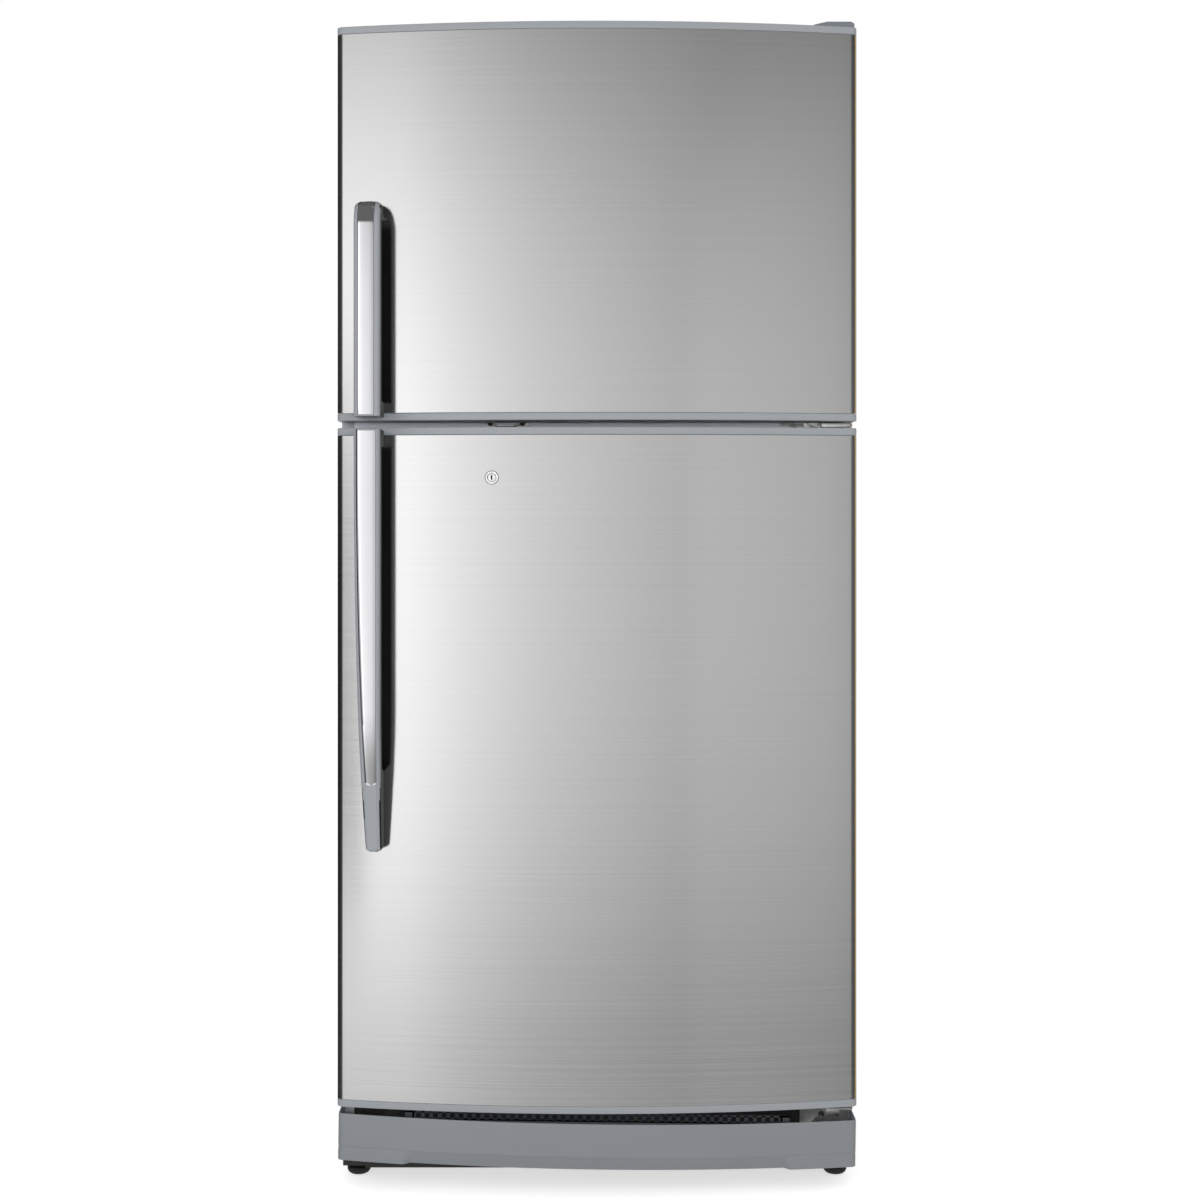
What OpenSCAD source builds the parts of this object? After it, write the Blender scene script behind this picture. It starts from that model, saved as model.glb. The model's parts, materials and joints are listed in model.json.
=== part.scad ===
// Two-door refrigerator with the freezer on top.
// Millimetres, +Z up, front towards -Y, hinges on the +X side.
// The origin lies on the floor, in the middle of the outer box.

/* [Body] */
// Width of the cabinet and of both doors
body_w = 760; // [680:1:840]
// Depth of the cabinet, without doors
cabinet_depth = 610; // [580:1:680]
// Free space that the rear pads keep to a wall
wall_gap = 12; // [8:1:20]
// Thickness of the painted steel sheet
sheet_t = 1; // [0.8:0.1:1.5]
// Width of the sheet's folded front edge
sheet_fold = 18; // [14:1:20]
// Height of the side sheets' lower edge above the floor
sheet_clear = 28; // [24:1:36]

/* [Doors] */
// Height of the lower door's bottom edge above the floor
door_clear = 122; // [120:1:130]
// Height of the lower door
fridge_door_h = 991; // [940:1:1040]
// Height of the freezer door
freezer_door_h = 575.5; // [540:0.5:620]
// Gap between the two doors
door_gap = 10; // [9:0.5:13]
// Gap between the freezer door and the top hinge
top_gap = 1.5; // [1:0.5:3]
// How far the middle of a door stands in front of its edges
bow = 44; // [30:1:55]
// Radius of a door's upright front edges
door_corner_r = 10; // [6:1:14]
// Thickness of a door at its edges
door_edge = 40; // [36:1:50]
// Thickness of the brushed steel door sheet
skin_t = 1; // [0.6:0.1:1.5]
// Height of the plastic cap at each end of a door
cap_h = 11; // [9:1:14]
// Space between a closed door and the cabinet
seal_gap = 8; // [7:0.5:10]
// Width of a door seal
seal_w = 16; // [12:1:18]
// How far the hinge axis lies in from the cabinet's side
hinge_inset = 12; // [11:0.5:14]
// How far the hinge axis lies in front of the cabinet
hinge_front = 30; // [28:0.5:34]
// Radius of a hinge pin
pin_r = 4; // [3:0.5:5]
// Running clearance round pins and shafts
pin_play = 0.05; // [0.03:0.01:0.08]

/* [Insulation] */
// Insulated thickness of the freezer's side walls
freezer_wall = 60; // [50:1:70]
// Insulated thickness of the refrigerator's side walls
fridge_wall = 45; // [40:1:55]
// Insulated thickness of the roof
roof_wall = 60; // [50:1:75]
// Insulated thickness of the rear wall
rear_wall = 60; // [50:1:75]
// Insulated thickness of the floor
floor_wall = 60; // [56:1:62]
// Height of the wall between the compartments
mullion_h = 68; // [62:1:72]
// Thickness of the moulded inner liners
liner_t = 2; // [1.5:0.1:2.5]
// Height of the refrigerator's floor above the lower door's edge
floor_up = 43; // [40:1:48]
// Height of the step over the machine bay
step_h = 165; // [150:1:180]
// Depth of the step over the machine bay
step_depth = 200; // [180:1:210]
// Insulated thickness over and in front of the machine bay
bay_wall = 46; // [40:1:60]

/* [Handles] */
// Width of a handle
handle_w = 38; // [32:1:44]
// Distance from the door's edge to the handle
handle_edge = 32; // [26:1:45]
// How far a handle stands in front of the door
handle_out = 53; // [46:1:60]
// Depth of the handle bar itself
handle_bar = 21; // [18:1:24]
// Height of the freezer handle
freezer_handle_h = 311.5; // [260:0.5:380]
// Length of the lower handle
fridge_handle_h = 608; // [520:1:680]
// Outer radius of the freezer handle's upper bend
handle_bend = 37; // [32:1:40]
// Distance from a handle's cut end to the door's edge
handle_end = 4.5; // [3:0.5:8]
// Height of the solid post at a handle's cut end
handle_post = 22; // [18:1:30]
// Width of the chrome strip
strip_w = 23; // [18:1:26]
// Thickness of the chrome strip
strip_t = 2.2; // [1.6:0.1:3]
// How far the chrome strip stands out of its groove
strip_proud = 0.7; // [0.3:0.1:1.2]

/* [Plinth] */
// Height of the plinth's lower edge
plinth_clear = 39; // [34:1:44]
// Height of the plinth
plinth_h = 68; // [60:1:70]
// How far the plinth hangs lower on the hinge side, in degrees
plinth_lean = 0.8; // [0:0.1:0.8]
// Wall thickness of the plinth
plinth_t = 3; // [2.5:0.5:4]
// Distance from the plinth's front to its air grille
grille_back = 27; // [24:1:34]
// Distance between two slots of the air grille
slot_pitch = 12.4; // [10:0.2:16]
// Width of a slot of the air grille
slot_w = 7; // [5:0.5:8]

/* [Feet] */
// Radius of a levelling foot
foot_r = 17.5; // [15:0.5:19]
// Height of a levelling foot's pad
foot_h = 11; // [10:0.5:14]
// Radius of the threaded stem of a foot
stem_r = 5; // [4:0.5:6]
// Radius of a rear roller
roller_r = 20; // [18:0.5:24]
// Width of a rear roller
roller_w = 16; // [12:1:20]

/* [Interior] */
// How far the lower door's bins reach into the cabinet
fridge_bin_in = 85; // [60:1:95]
// How far the freezer door's bins reach into the cabinet
freezer_bin_in = 70; // [50:1:80]
// Distance from the cabinet's front to shelves and drawers
shelf_back = 125; // [118:1:135]
// Number of glass shelves above the vegetable drawers
shelf_count = 3; // [2:1:4]
// Wall thickness of bins and drawers
bin_t = 2.5; // [2:0.1:3]
// Width of the ice maker's stand
ice_w = 136; // [130:1:150]
// Height of the freezer shelf above the freezer's floor
freezer_shelf_up = 238; // [236:1:280]
// Depth of the space behind the evaporator cover
evap_space = 75; // [72:1:90]
// Number of fins on the evaporator
fin_count = 22; // [10:1:26]

/* [Lock] */
// Distance of the lock from the door's middle
lock_x = -152; // [-200:1:-120]
// Distance of the lock below the lower door's top edge
lock_down = 73; // [60:1:90]
// Radius of the lock's front ring
lock_r = 10; // [9:0.5:12]
// Travel of the lock's bolt
bolt_travel = 7; // [5:0.5:7]

/* [Hidden] */
$fn = 48;
eps = 0.01;
// Clearance between pieces that are laid or clipped together
seat = 0.2;
rest_gap = 0.3;

// Plan of the doors: an arc between two round edges
half_w = body_w / 2;
bow_r = (pow(half_w - door_corner_r, 2) + pow(bow, 2) - pow(door_corner_r, 2))
    / (2 * (bow - door_corner_r));
function bow_drop(x) = bow_r - sqrt(pow(bow_r, 2) - pow(x, 2));

// Depths, from the handles' front to the wall
handle_x0 = -half_w + handle_edge;
handle_x1 = handle_x0 + handle_w;
handle_x = (handle_x0 + handle_x1) / 2;
handle_lead = handle_out - bow_drop(handle_x);
y_handle = -(handle_lead + bow + door_edge + seal_gap + cabinet_depth + wall_gap) / 2;
y_bow = y_handle + handle_lead;
y_corner = y_bow + bow;
y_pan = y_corner + door_edge;
y_cab = y_pan + seal_gap;
y_back = y_cab + cabinet_depth;

// Heights
fridge_z0 = door_clear;
fridge_z1 = fridge_z0 + fridge_door_h;
freezer_z0 = fridge_z1 + door_gap;
freezer_z1 = freezer_z0 + freezer_door_h;
z_top = freezer_z1 + top_gap;
z_mullion = (fridge_z1 + freezer_z0) / 2;

// Inner faces of the two compartments
ice_half = half_w - freezer_wall;
ice_z0 = z_mullion + mullion_h / 2;
ice_z1 = z_top - roof_wall;
cool_half = half_w - fridge_wall;
cool_z0 = fridge_z0 + floor_up;
cool_z1 = z_mullion - mullion_h / 2;
y_in = y_back - rear_wall;
step_z = cool_z0 + step_h;
step_y = y_in - step_depth;
liner_r = 7;
liner_clear = 14;
foam_z0 = cool_z0 - floor_wall;
bay_z1 = step_z - bay_wall;
bay_y0 = step_y + bay_wall;
fold_x = half_w - sheet_fold;

// Hinge axis
hinge_x = half_w - hinge_inset;
hinge_y = y_cab - hinge_front;
pin_deep = cap_h + 3;
boss_r = pin_r + 4;
boss_h = cap_h + 6;
hinge_t = 3;
washer_r = pin_r + 3.5;

// Points of an arc
function arc(cx, cy, r, a0, a1, n) =
    [for (i = [0:n]) let (a = a0 + (a1 - a0) * i / n) [cx + r * cos(a), cy + r * sin(a)]];

// Plan outline of a door, drawn in by inset and cut straight at y_end
function door_outline(inset, y_end) =
    let (r = bow_r - inset, h = half_w - inset, c = max(door_corner_r - inset, 2),
        y0 = y_bow + bow_r, cx = h - c, cy = y0 - sqrt(pow(r - c, 2) - pow(cx, 2)),
        lean = asin(cx / (r - c)))
    concat([[-h, y_end]], arc(-cx, cy, c, 180, 270 - lean, 5),
        arc(0, y0, r, 270 - lean, 270 + lean, 36), arc(cx, cy, c, 270 + lean, 360, 5),
        [[h, y_end]]);

module door_slab(inset, y_end, z0, z1) {
    translate([0, 0, z0]) linear_extrude(z1 - z0) polygon(door_outline(inset, y_end));
}

// Box between two opposite corners
module span(a, b) {
    translate(a) cube(b - a);
}

module round_rect(w, h, r) {
    square([w - 2 * r, h], center = true);
    square([w, h - 2 * r], center = true);
    for (sx = [-1, 1], sy = [-1, 1])
        translate([sx * (w / 2 - r), sy * (h / 2 - r)]) circle(r);
}

// Rounded block lying along Y, its corners rounded in the front view
module y_block(x0, x1, z0, z1, y0, y1, r) {
    translate([(x0 + x1) / 2, y1, (z0 + z1) / 2]) rotate([90, 0, 0])
        linear_extrude(y1 - y0) round_rect(x1 - x0, z1 - z0, r);
}

// Rounded block standing along Z, its corners rounded in plan
module z_block(x0, x1, y0, y1, z0, z1, r) {
    translate([(x0 + x1) / 2, (y0 + y1) / 2, z0])
        linear_extrude(z1 - z0) round_rect(x1 - x0, y1 - y0, r);
}

// Cylinder along Y from y0 to y1
module y_rod(x, z, r, y0, y1) {
    translate([x, y1, z]) rotate([90, 0, 0]) cylinder(r = r, h = y1 - y0);
}

// Cylinder along X from x0 to x1
module x_rod(y, z, r, x0, x1) {
    translate([x0, y, z]) rotate([0, 90, 0]) cylinder(r = r, h = x1 - x0);
}

// Cabinet

module cabinet_shell() {
    bend_r = 4;
    color("silver") difference() {
        union() {
            y_block(-half_w, half_w, sheet_clear, z_top, y_cab, y_back, bend_r);
            span([-half_w, y_cab, sheet_clear], [half_w, y_back, sheet_clear + 2 * bend_r]);
        }
        span([-half_w + sheet_t, y_cab + sheet_t, sheet_clear - 1],
            [half_w - sheet_t, y_back + 1, z_top - sheet_t]);
        span([-fold_x, y_cab - 1, sheet_clear - 1], [fold_x, y_cab + sheet_t + 1, z_top - sheet_fold]);
    }
}

pad_r = 22;
pad_in = 110;
module back_panel() {
    rib_r = 9;
    rib_out = 3;
    rib_n = 5;
    rib_margin = 120;
    rib_z0 = bay_z1 + rib_margin;
    rib_pitch = (z_top - rib_margin - rib_z0) / (rib_n - 1);
    pad_down = 60;
    pad_taper = 6;
    color("gainsboro") {
        span([-half_w + sheet_t + seat, y_back - sheet_t, bay_z1 + seat],
            [half_w - sheet_t - seat, y_back, z_top - sheet_t - seat]);
        for (i = [0:rib_n - 1]) intersection() {
            x_rod(y_back - rib_r + rib_out, rib_z0 + i * rib_pitch, rib_r,
                -half_w + pad_in, half_w - pad_in);
            span([-half_w, y_back - eps, 0], [half_w, y_back + rib_out + 1, z_top]);
        }
        for (side = [-1, 1]) translate([side * (half_w - pad_in), y_back - eps, z_top - pad_down])
            rotate([-90, 0, 0]) cylinder(r1 = pad_r, r2 = pad_r - pad_taper, h = wall_gap + eps);
    }
}

module freezer_space(grow, y_end) {
    y_block(-ice_half - grow, ice_half + grow, ice_z0 - grow, ice_z1 + grow, y_cab - 1, y_end + grow,
        liner_r + grow);
}

module fridge_space(grow) {
    y_block(-cool_half - grow, cool_half + grow, cool_z0 - grow, cool_z1 + grow, y_cab - 1,
        step_y + grow, liner_r + grow);
    y_block(-cool_half - grow, cool_half + grow, step_z - grow, cool_z1 + grow, y_cab - 1,
        y_in + grow, liner_r + grow);
}

module cabinet_foam() {
    color("khaki") difference() {
        span([-half_w + sheet_t, y_cab + liner_t, foam_z0],
            [half_w - sheet_t, y_back - sheet_t, z_top - sheet_t]);
        freezer_space(liner_t, y_in);
        fridge_space(liner_t);
        span([-half_w, bay_y0, 0], [half_w, y_back, bay_z1]);
    }
}

rib_w = 6;
rib_h = 6;
rib_ahead = 20;
rib_stop = 4;
module shelf_rib(half, z, y0, y1) {
    for (side = [-1, 1]) mirror([side < 0 ? 1 : 0, 0, 0])
        span([half - rib_w, y0, z - rib_h], [half + eps, y1, z]);
}

cover_h = mullion_h - 2 * liner_t - 1;
module freezer_liner() {
    color("white") {
        difference() {
            union() {
                intersection() {
                    freezer_space(liner_t, y_in);
                    span([-half_w, y_cab + liner_t / 2, 0], [half_w, y_back, z_top]);
                }
                span([-fold_x + seat, y_cab, z_mullion + cover_h / 2 + seat],
                    [fold_x - seat, y_cab + liner_t, z_top - sheet_fold - seat]);
            }
            freezer_space(0, y_in);
        }
        shelf_rib(ice_half, freezer_shelf_z - seat, y_cab + shelf_back - rib_ahead - 5,
            y_in - evap_space - rib_stop);
    }
}

module fridge_liner() {
    color("white") {
        difference() {
            union() {
                intersection() {
                    fridge_space(liner_t);
                    span([-half_w, y_cab + liner_t / 2, 0], [half_w, y_back, z_top]);
                }
                span([-fold_x + seat, y_cab, foam_z0 + seat],
                    [fold_x - seat, y_cab + liner_t, z_mullion - cover_h / 2 - seat]);
            }
            fridge_space(0);
        }
        for (i = [0:shelf_count - 1])
            shelf_rib(cool_half, shelf_z(i) - seat, y_cab + shelf_back - rib_ahead, y_in - rib_stop);
        shelf_rib(cool_half, step_z, y_cab + shelf_back - rib_ahead, step_y);
    }
}

cover_t = 1.5;
module mullion_cover() {
    color("lightsteelblue")
        span([-fold_x + seat, y_cab, z_mullion - cover_h / 2],
            [fold_x - seat, y_cab + cover_t, z_mullion + cover_h / 2]);
}

// Lock: strike on the mullion, bolt, body and core in the lower door
bolt_w = 8;
bolt_d = 5;
bolt_x = lock_x + 17;
bolt_in = 14;
bolt_y = y_pan - bolt_in;
strike_w = 64;
strike_z = [z_mullion - 1.5, z_mullion + 10.5];
strike_screw_z = z_mullion + 5;
strike_t = 2;
strike_screw = 24;
lock_z = fridge_z1 - lock_down;
lock_face = y_bow + bow_drop(lock_x);
lock_core_r = 6;
lock_neck_r = lock_r - 2;
bolt_room = 0.5;
cam_d = 8;
cam_y = y_pan - bolt_in;

module lock_strike() {
    hook_w = 30;
    hook_t = 2.4;
    hook_nose = 5;
    window_w = 34;
    window_z = [z_mullion + 2.5, z_mullion + 8.5];
    slot_x = bolt_w / 2 + 2;
    slot_y = bolt_d / 2 + 2;
    color("lightgray") difference() {
        union() {
            span([bolt_x - strike_w / 2, y_cab - strike_t, strike_z[0]],
                [bolt_x + strike_w / 2, y_cab, strike_z[1]]);
            z_block(bolt_x - hook_w / 2, bolt_x + hook_w / 2, bolt_y - slot_y - hook_nose,
                y_cab - strike_t / 2, z_mullion - hook_t / 2, z_mullion + hook_t / 2, 4);
        }
        span([bolt_x - slot_x, bolt_y - slot_y, z_mullion - hook_t],
            [bolt_x + slot_x, bolt_y + slot_y, z_mullion + hook_t]);
        y_block(bolt_x - window_w / 2, bolt_x + window_w / 2, window_z[0], window_z[1],
            y_cab - strike_t - 1, y_cab + 1, 2);
        for (side = [-1, 1])
            y_rod(bolt_x + side * strike_screw, strike_screw_z, screw_r, y_cab - strike_t - 1, y_cab + 1);
    }
}

// Hinges
screw_r = 2.5;
head_r = 4.2;
head_h = 2.6;
hinge_plate = hinge_inset + 50;
top_screws = [[14, 22], [46, 22], [30, 50]];
middle_screws = [78, 52, 34];
bottom_screws = [[46, 18], [24, 18]];
screw_edge = 6;
middle_screw_z = 5.5;
leg_t = 3;
leg_h = 20;
arm_in = 42;
arm_nose = 9;
arm_side = 4;
arm_room = 6;
bottom_arm_z = fridge_z0 - 10;

module top_hinge() {
    plate_d = 64;
    arm_back = 20;
    plate_r = 6;
    color("slategray") difference() {
        union() {
            z_block(half_w - hinge_plate, half_w - arm_side - 1, y_cab + screw_edge, y_cab + plate_d,
                z_top, z_top + hinge_t, plate_r);
            z_block(half_w - arm_in, half_w - arm_side, hinge_y - arm_nose, y_cab + arm_back,
                z_top, z_top + hinge_t, plate_r);
            translate([hinge_x, hinge_y, freezer_z1 - pin_deep + 1])
                cylinder(r = pin_r, h = pin_deep + top_gap + hinge_t + 2);
        }
        for (s = top_screws)
            translate([half_w - hinge_plate + s[0], y_cab + s[1] - screw_edge, z_top - 1])
                cylinder(r = screw_r, h = hinge_t + 2);
    }
}

hinge_cover_h = 18;
module top_hinge_cover() {
    wall = 2;
    x0 = half_w - hinge_plate - 10;
    x1 = half_w - 2;
    y0 = hinge_y - 13;
    y1 = y_cab + 72;
    nose = [12, 11];
    slope_l = 30;
    bevel = 5;
    ramp = [[x0, 0], [x0 + nose[0], nose[1]], [x0 + slope_l, hinge_cover_h], [x1 - bevel, hinge_cover_h],
        [x1, hinge_cover_h - bevel], [x1, 0]];
    room = [[x0 + bevel, -1], [x0 + nose[0] + 3, nose[1] - 1.5], [x0 + slope_l + 1, hinge_cover_h - wall],
        [x1 - bevel - 1, hinge_cover_h - wall], [x1 - wall, hinge_cover_h - bevel - 1], [x1 - wall, -1]];
    color("gray") difference() {
        translate([0, y1, z_top]) rotate([90, 0, 0]) linear_extrude(y1 - y0) polygon(ramp);
        translate([0, y1 - wall, z_top]) rotate([90, 0, 0]) linear_extrude(y1 - y0 - 2 * wall) polygon(room);
    }
}

module middle_hinge() {
    leg_w = 89;
    arm_r = 5;
    knuckle_in = [50, 13.5];
    knuckle_d = 15;
    knuckle_half = 3.5;
    slot_x = half_w - 84;
    slot_half = 11.5;
    slot_z = [z_mullion + 3.5, z_mullion + 7.5];
    color("lightgray") difference() {
        union() {
            span([fold_x - leg_w, y_cab - leg_t, z_mullion - leg_h / 2],
                [fold_x, y_cab, z_mullion + leg_h / 2]);
            z_block(half_w - arm_in - arm_room, half_w - arm_side, hinge_y - arm_nose, y_cab - leg_t / 2,
                z_mullion - hinge_t / 2, z_mullion + hinge_t / 2, arm_r);
            span([half_w - knuckle_in[0], hinge_y - arm_nose, z_mullion - knuckle_half],
                [half_w - knuckle_in[1], hinge_y - arm_nose + knuckle_d, z_mullion + knuckle_half]);
            translate([hinge_x, hinge_y, fridge_z1 - pin_deep + 1])
                cylinder(r = pin_r, h = 2 * pin_deep + door_gap - 2);
            for (z = [fridge_z1 + seat, z_mullion])
                translate([hinge_x, hinge_y, z]) cylinder(r = washer_r, h = door_gap / 2 - seat);
        }
        for (x = middle_screws)
            y_rod(fold_x - x, z_mullion - middle_screw_z, screw_r - 1, y_cab - leg_t - 1, y_cab + 1);
        y_block(slot_x - slot_half, slot_x + slot_half, slot_z[0], slot_z[1],
            y_cab - leg_t - 1, y_cab + 1, 1.9);
    }
}

module bottom_hinge() {
    leg_in = 78;
    leg_down = 44;
    arm_r = 5;
    rib_x = [44, 24];
    rib_y = [12, 8];
    rib_h = 5;
    color("gray") difference() {
        union() {
            span([half_w - leg_in, y_cab - leg_t, bottom_arm_z - leg_down],
                [half_w - arm_room, y_cab, bottom_arm_z + hinge_t]);
            z_block(half_w - arm_in - arm_room, half_w - arm_side, hinge_y - arm_nose - 1, y_cab - leg_t / 2,
                bottom_arm_z, bottom_arm_z + hinge_t, arm_r);
            translate([hinge_x, hinge_y, bottom_arm_z - 2])
                cylinder(r = pin_r, h = fridge_z0 - bottom_arm_z + pin_deep + 1);
            translate([hinge_x, hinge_y, bottom_arm_z])
                cylinder(r = washer_r, h = fridge_z0 - bottom_arm_z - seat);
            span([half_w - rib_x[0], hinge_y - rib_y[0], bottom_arm_z - rib_h],
                [half_w - rib_x[1], hinge_y - rib_y[1], bottom_arm_z + hinge_t]);
        }
        for (s = bottom_screws)
            y_rod(half_w - s[0], bottom_arm_z - s[1], screw_r, y_cab - leg_t - 1, y_cab + 1);
    }
}

// Round head with a cross recess, its shank filling the plate below it
module screw(grip, r = screw_r) {
    recess = head_r * 1.2;
    recess_deep = 1.2;
    shank_play = 0.05;
    difference() {
        union() {
            cylinder(r1 = head_r, r2 = head_r - 1, h = head_h);
            translate([0, 0, -grip]) cylinder(r = r - shank_play, h = grip + eps);
        }
        for (turn = [0, 90]) rotate(turn)
            translate([-recess / 2, -0.5, head_h - recess_deep]) cube([recess, 1, 2]);
    }
}

module hinge_screws() {
    color("dimgray") {
        for (s = top_screws)
            translate([half_w - hinge_plate + s[0], y_cab + s[1] - screw_edge, z_top + hinge_t])
                screw(hinge_t);
        for (x = middle_screws)
            translate([fold_x - x, y_cab - leg_t, z_mullion - middle_screw_z]) rotate([90, 0, 0])
                screw(leg_t, screw_r - 1);
        for (s = bottom_screws)
            translate([half_w - s[0], y_cab - leg_t, bottom_arm_z - s[1]]) rotate([90, 0, 0]) screw(leg_t);
        for (side = [-1, 1])
            translate([bolt_x + side * strike_screw, y_cab - strike_t, strike_screw_z])
                rotate([90, 0, 0]) screw(strike_t);
    }
}

// Base
rail_w = 34;
rail_t = 2.5;
rail_z0 = 16;
beam_y0 = y_cab + sheet_t + seat;
beam_z0 = 13;
foot_in = 23;
foot_x = half_w - foot_in;
foot_y = y_cab + 20;
stem_boss_r = stem_r + 6;
stem_boss_h = 44;
roller_in = 12;
roller_x = half_w - sheet_t - roller_in - roller_w / 2;
roller_y = y_back - 60;
axle_r = 4;
cheek_x = roller_x - roller_w / 2 - 1 - rail_t;
rail_end = 4;
beam_lip = 26;
tray_z = 40;
tray_end = 8;
tray_edge = 18;
clip_x = 240;
clip_w = 26;
clip_t = 3;
clip_room = 7;
clip_z = plinth_clear + plinth_h / 2;

module rail() {
    cheek_half = 20;
    cheek_z0 = 12;
    x1 = half_w - sheet_t - seat;
    x0 = x1 - rail_w;
    difference() {
        union() {
            difference() {
                span([x0, beam_y0, rail_z0], [x1, y_back - rail_end, foam_z0 - seat]);
                span([x0 - 1, beam_y0 + rail_t, rail_z0 + rail_t],
                    [x1 - rail_t, y_back - rail_end - rail_t, foam_z0 - seat - rail_t]);
            }
            translate([foot_x, foot_y, rail_z0]) cylinder(r = stem_boss_r, h = stem_boss_h);
            span([cheek_x, roller_y - cheek_half, cheek_z0],
                [cheek_x + rail_t, roller_y + cheek_half, foam_z0 - seat]);
            x_rod(roller_y, roller_r, axle_r, cheek_x, x1 - 1);
        }
        difference() {
            span([cheek_x + rail_t, roller_y - roller_r - 4, 0],
                [roller_x + roller_w / 2 + 1, roller_y + roller_r + 4, 2 * roller_r + 3]);
            x_rod(roller_y, roller_r, axle_r, cheek_x - 1, x1);
        }
        translate([foot_x, foot_y, 0]) cylinder(r = stem_r + pin_play, h = rail_z0 + stem_boss_h + 1);
    }
}

module base_frame() {
    x0 = half_w - sheet_t - seat - rail_w;
    color("#202022") {
        rail();
        mirror([1, 0, 0]) rail();
        difference() {
            span([-x0 - 1, beam_y0, beam_z0], [x0 + 1, beam_y0 + rail_t, foam_z0 - seat]);
            for (side = [-1, 1])
                span([side * clip_x - clip_w / 2 - 2, beam_y0 - 1, clip_z - clip_room],
                    [side * clip_x + clip_w / 2 + 2, beam_y0 + rail_t + 1, clip_z + clip_room]);
        }
        span([-x0 - 1, beam_y0, beam_z0], [x0 + 1, beam_y0 + beam_lip, beam_z0 + rail_t]);
        span([-cheek_x - 1, bay_y0, tray_z], [cheek_x + 1, y_back - tray_end, tray_z + rail_t]);
        for (y = [bay_y0, y_back - tray_end - rail_t])
            span([-x0 - 1, y, tray_z], [x0 + 1, y + rail_t, tray_z + tray_edge]);
    }
}

// Plinth: bowed front with a scooped lower edge and a ledge in front of the grille
module lean() {
    mid = plinth_clear + plinth_h / 2;
    translate([0, 0, mid]) rotate([0, plinth_lean, 0]) translate([0, 0, -mid]) children();
}

plinth_inset = 1.2;
scoop_h = 20;
scoop_in = 9;
scoop_half = half_w - 101;
ledge_down = 5;
ledge_t = 3;
grille_y = y_bow + grille_back;
grille_half = half_w - 100;

// Bowed band, its lower part tucked back below the crease of the scoop
module tucked(inset, y_end) {
    hull() {
        door_slab(inset + scoop_in, y_end, plinth_clear - eps, plinth_clear);
        door_slab(inset, y_end, plinth_clear + scoop_h - eps, plinth_clear + scoop_h);
    }
}

module plinth() {
    z0 = plinth_clear;
    z1 = z0 + plinth_h;
    crease = z0 + scoop_h;
    web = 3;
    tail = y_cab - seat;
    clip_y = y_bow + bow_drop(clip_x + clip_w / 2) + plinth_inset + 1;
    color("darkgray") lean() {
        difference() {
            door_slab(plinth_inset, tail, z0, z1);
            door_slab(plinth_inset + plinth_t, tail + 1, crease, z1 + 1);
            door_slab(plinth_inset + plinth_t + scoop_in, tail + 1, z0 - 1, crease + 1);
            for (side = [-1, 1]) intersection() {
                door_slab(plinth_inset + plinth_t, tail + 1, z0 - 1, crease + eps);
                translate([side * (scoop_half + web + half_w / 2), 0, 0])
                    cube([half_w, 4 * half_w, 2 * z1], center = true);
            }
            intersection() {
                difference() {
                    door_slab(plinth_inset - 1, tail + 1, z0 - 1, crease);
                    tucked(plinth_inset, tail + 2);
                }
                cube([2 * scoop_half, 4 * half_w, 2 * z1], center = true);
            }
        }
        intersection() {
            door_slab(plinth_inset + 1, tail, z1 - ledge_down - ledge_t, z1 - ledge_down);
            span([-half_w, y_bow, z0], [half_w, grille_y + 6, z1]);
        }
        for (side = [-1, 1]) {
            span([side * clip_x - clip_w / 2, grille_y, clip_z - clip_t / 2],
                [side * clip_x + clip_w / 2, beam_y0 + rail_t + 6, clip_z + clip_t / 2]);
            for (x = [-1, 1])
                span([side * clip_x + x * (clip_w - clip_t) / 2 - clip_t / 2, clip_y, clip_z - clip_t / 2],
                    [side * clip_x + x * (clip_w - clip_t) / 2 + clip_t / 2, grille_y + 4, z1 - ledge_down]);
        }
    }
}

module plinth_grille() {
    z0 = plinth_clear + plinth_h - ledge_down + seat;
    z1 = fridge_z0 - 7;
    wall = 2.5;
    rail_low = 3;
    end_w = 10;
    lip_d = 6;
    lip_t = 1.5;
    n = floor((2 * grille_half - 2 * end_w) / slot_pitch);
    color("#333538") lean() {
        difference() {
            span([-grille_half, grille_y, z0], [grille_half, grille_y + wall, z1]);
            for (i = [0:n - 1])
                span([(i - (n - 1) / 2) * slot_pitch - slot_w / 2, grille_y - 1, z0 + rail_low],
                    [(i - (n - 1) / 2) * slot_pitch + slot_w / 2, grille_y + wall + 1, z1 - wall]);
        }
        span([-grille_half, grille_y, z0], [grille_half, grille_y + lip_d, z0 + lip_t]);
    }
}

module foot() {
    round_r = 8;
    nut_r = 9;
    nut_h = 3;
    color("#1c1c1e") {
        rotate_extrude() union() {
            square([foot_r - round_r, foot_h]);
            translate([0, round_r]) square([foot_r, foot_h - round_r]);
            intersection() {
                translate([foot_r - round_r, round_r]) circle(round_r);
                square([foot_r, foot_h]);
            }
        }
        translate([0, 0, foot_h - eps]) cylinder(r = nut_r, h = nut_h, $fn = 6);
        translate([0, 0, foot_h]) cylinder(r = stem_r, h = rail_z0 + stem_boss_h - foot_h);
    }
}

module foot_left() {
    translate([-foot_x, foot_y, 0]) foot();
}

module foot_right() {
    translate([foot_x, foot_y, 0]) foot();
}

module roller() {
    tread = 3;
    hub_t = 3;
    color("#2a2a2c") rotate([0, 90, 0]) difference() {
        cylinder(r = roller_r, h = roller_w, center = true);
        cylinder(r = axle_r + pin_play, h = roller_w + 2, center = true);
        for (side = [-1, 1]) translate([0, 0, side * roller_w / 2]) difference() {
            cylinder(r = roller_r - tread - 1, h = 2 * tread, center = true);
            cylinder(r = axle_r + hub_t, h = 3 * tread, center = true);
        }
    }
}

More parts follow.
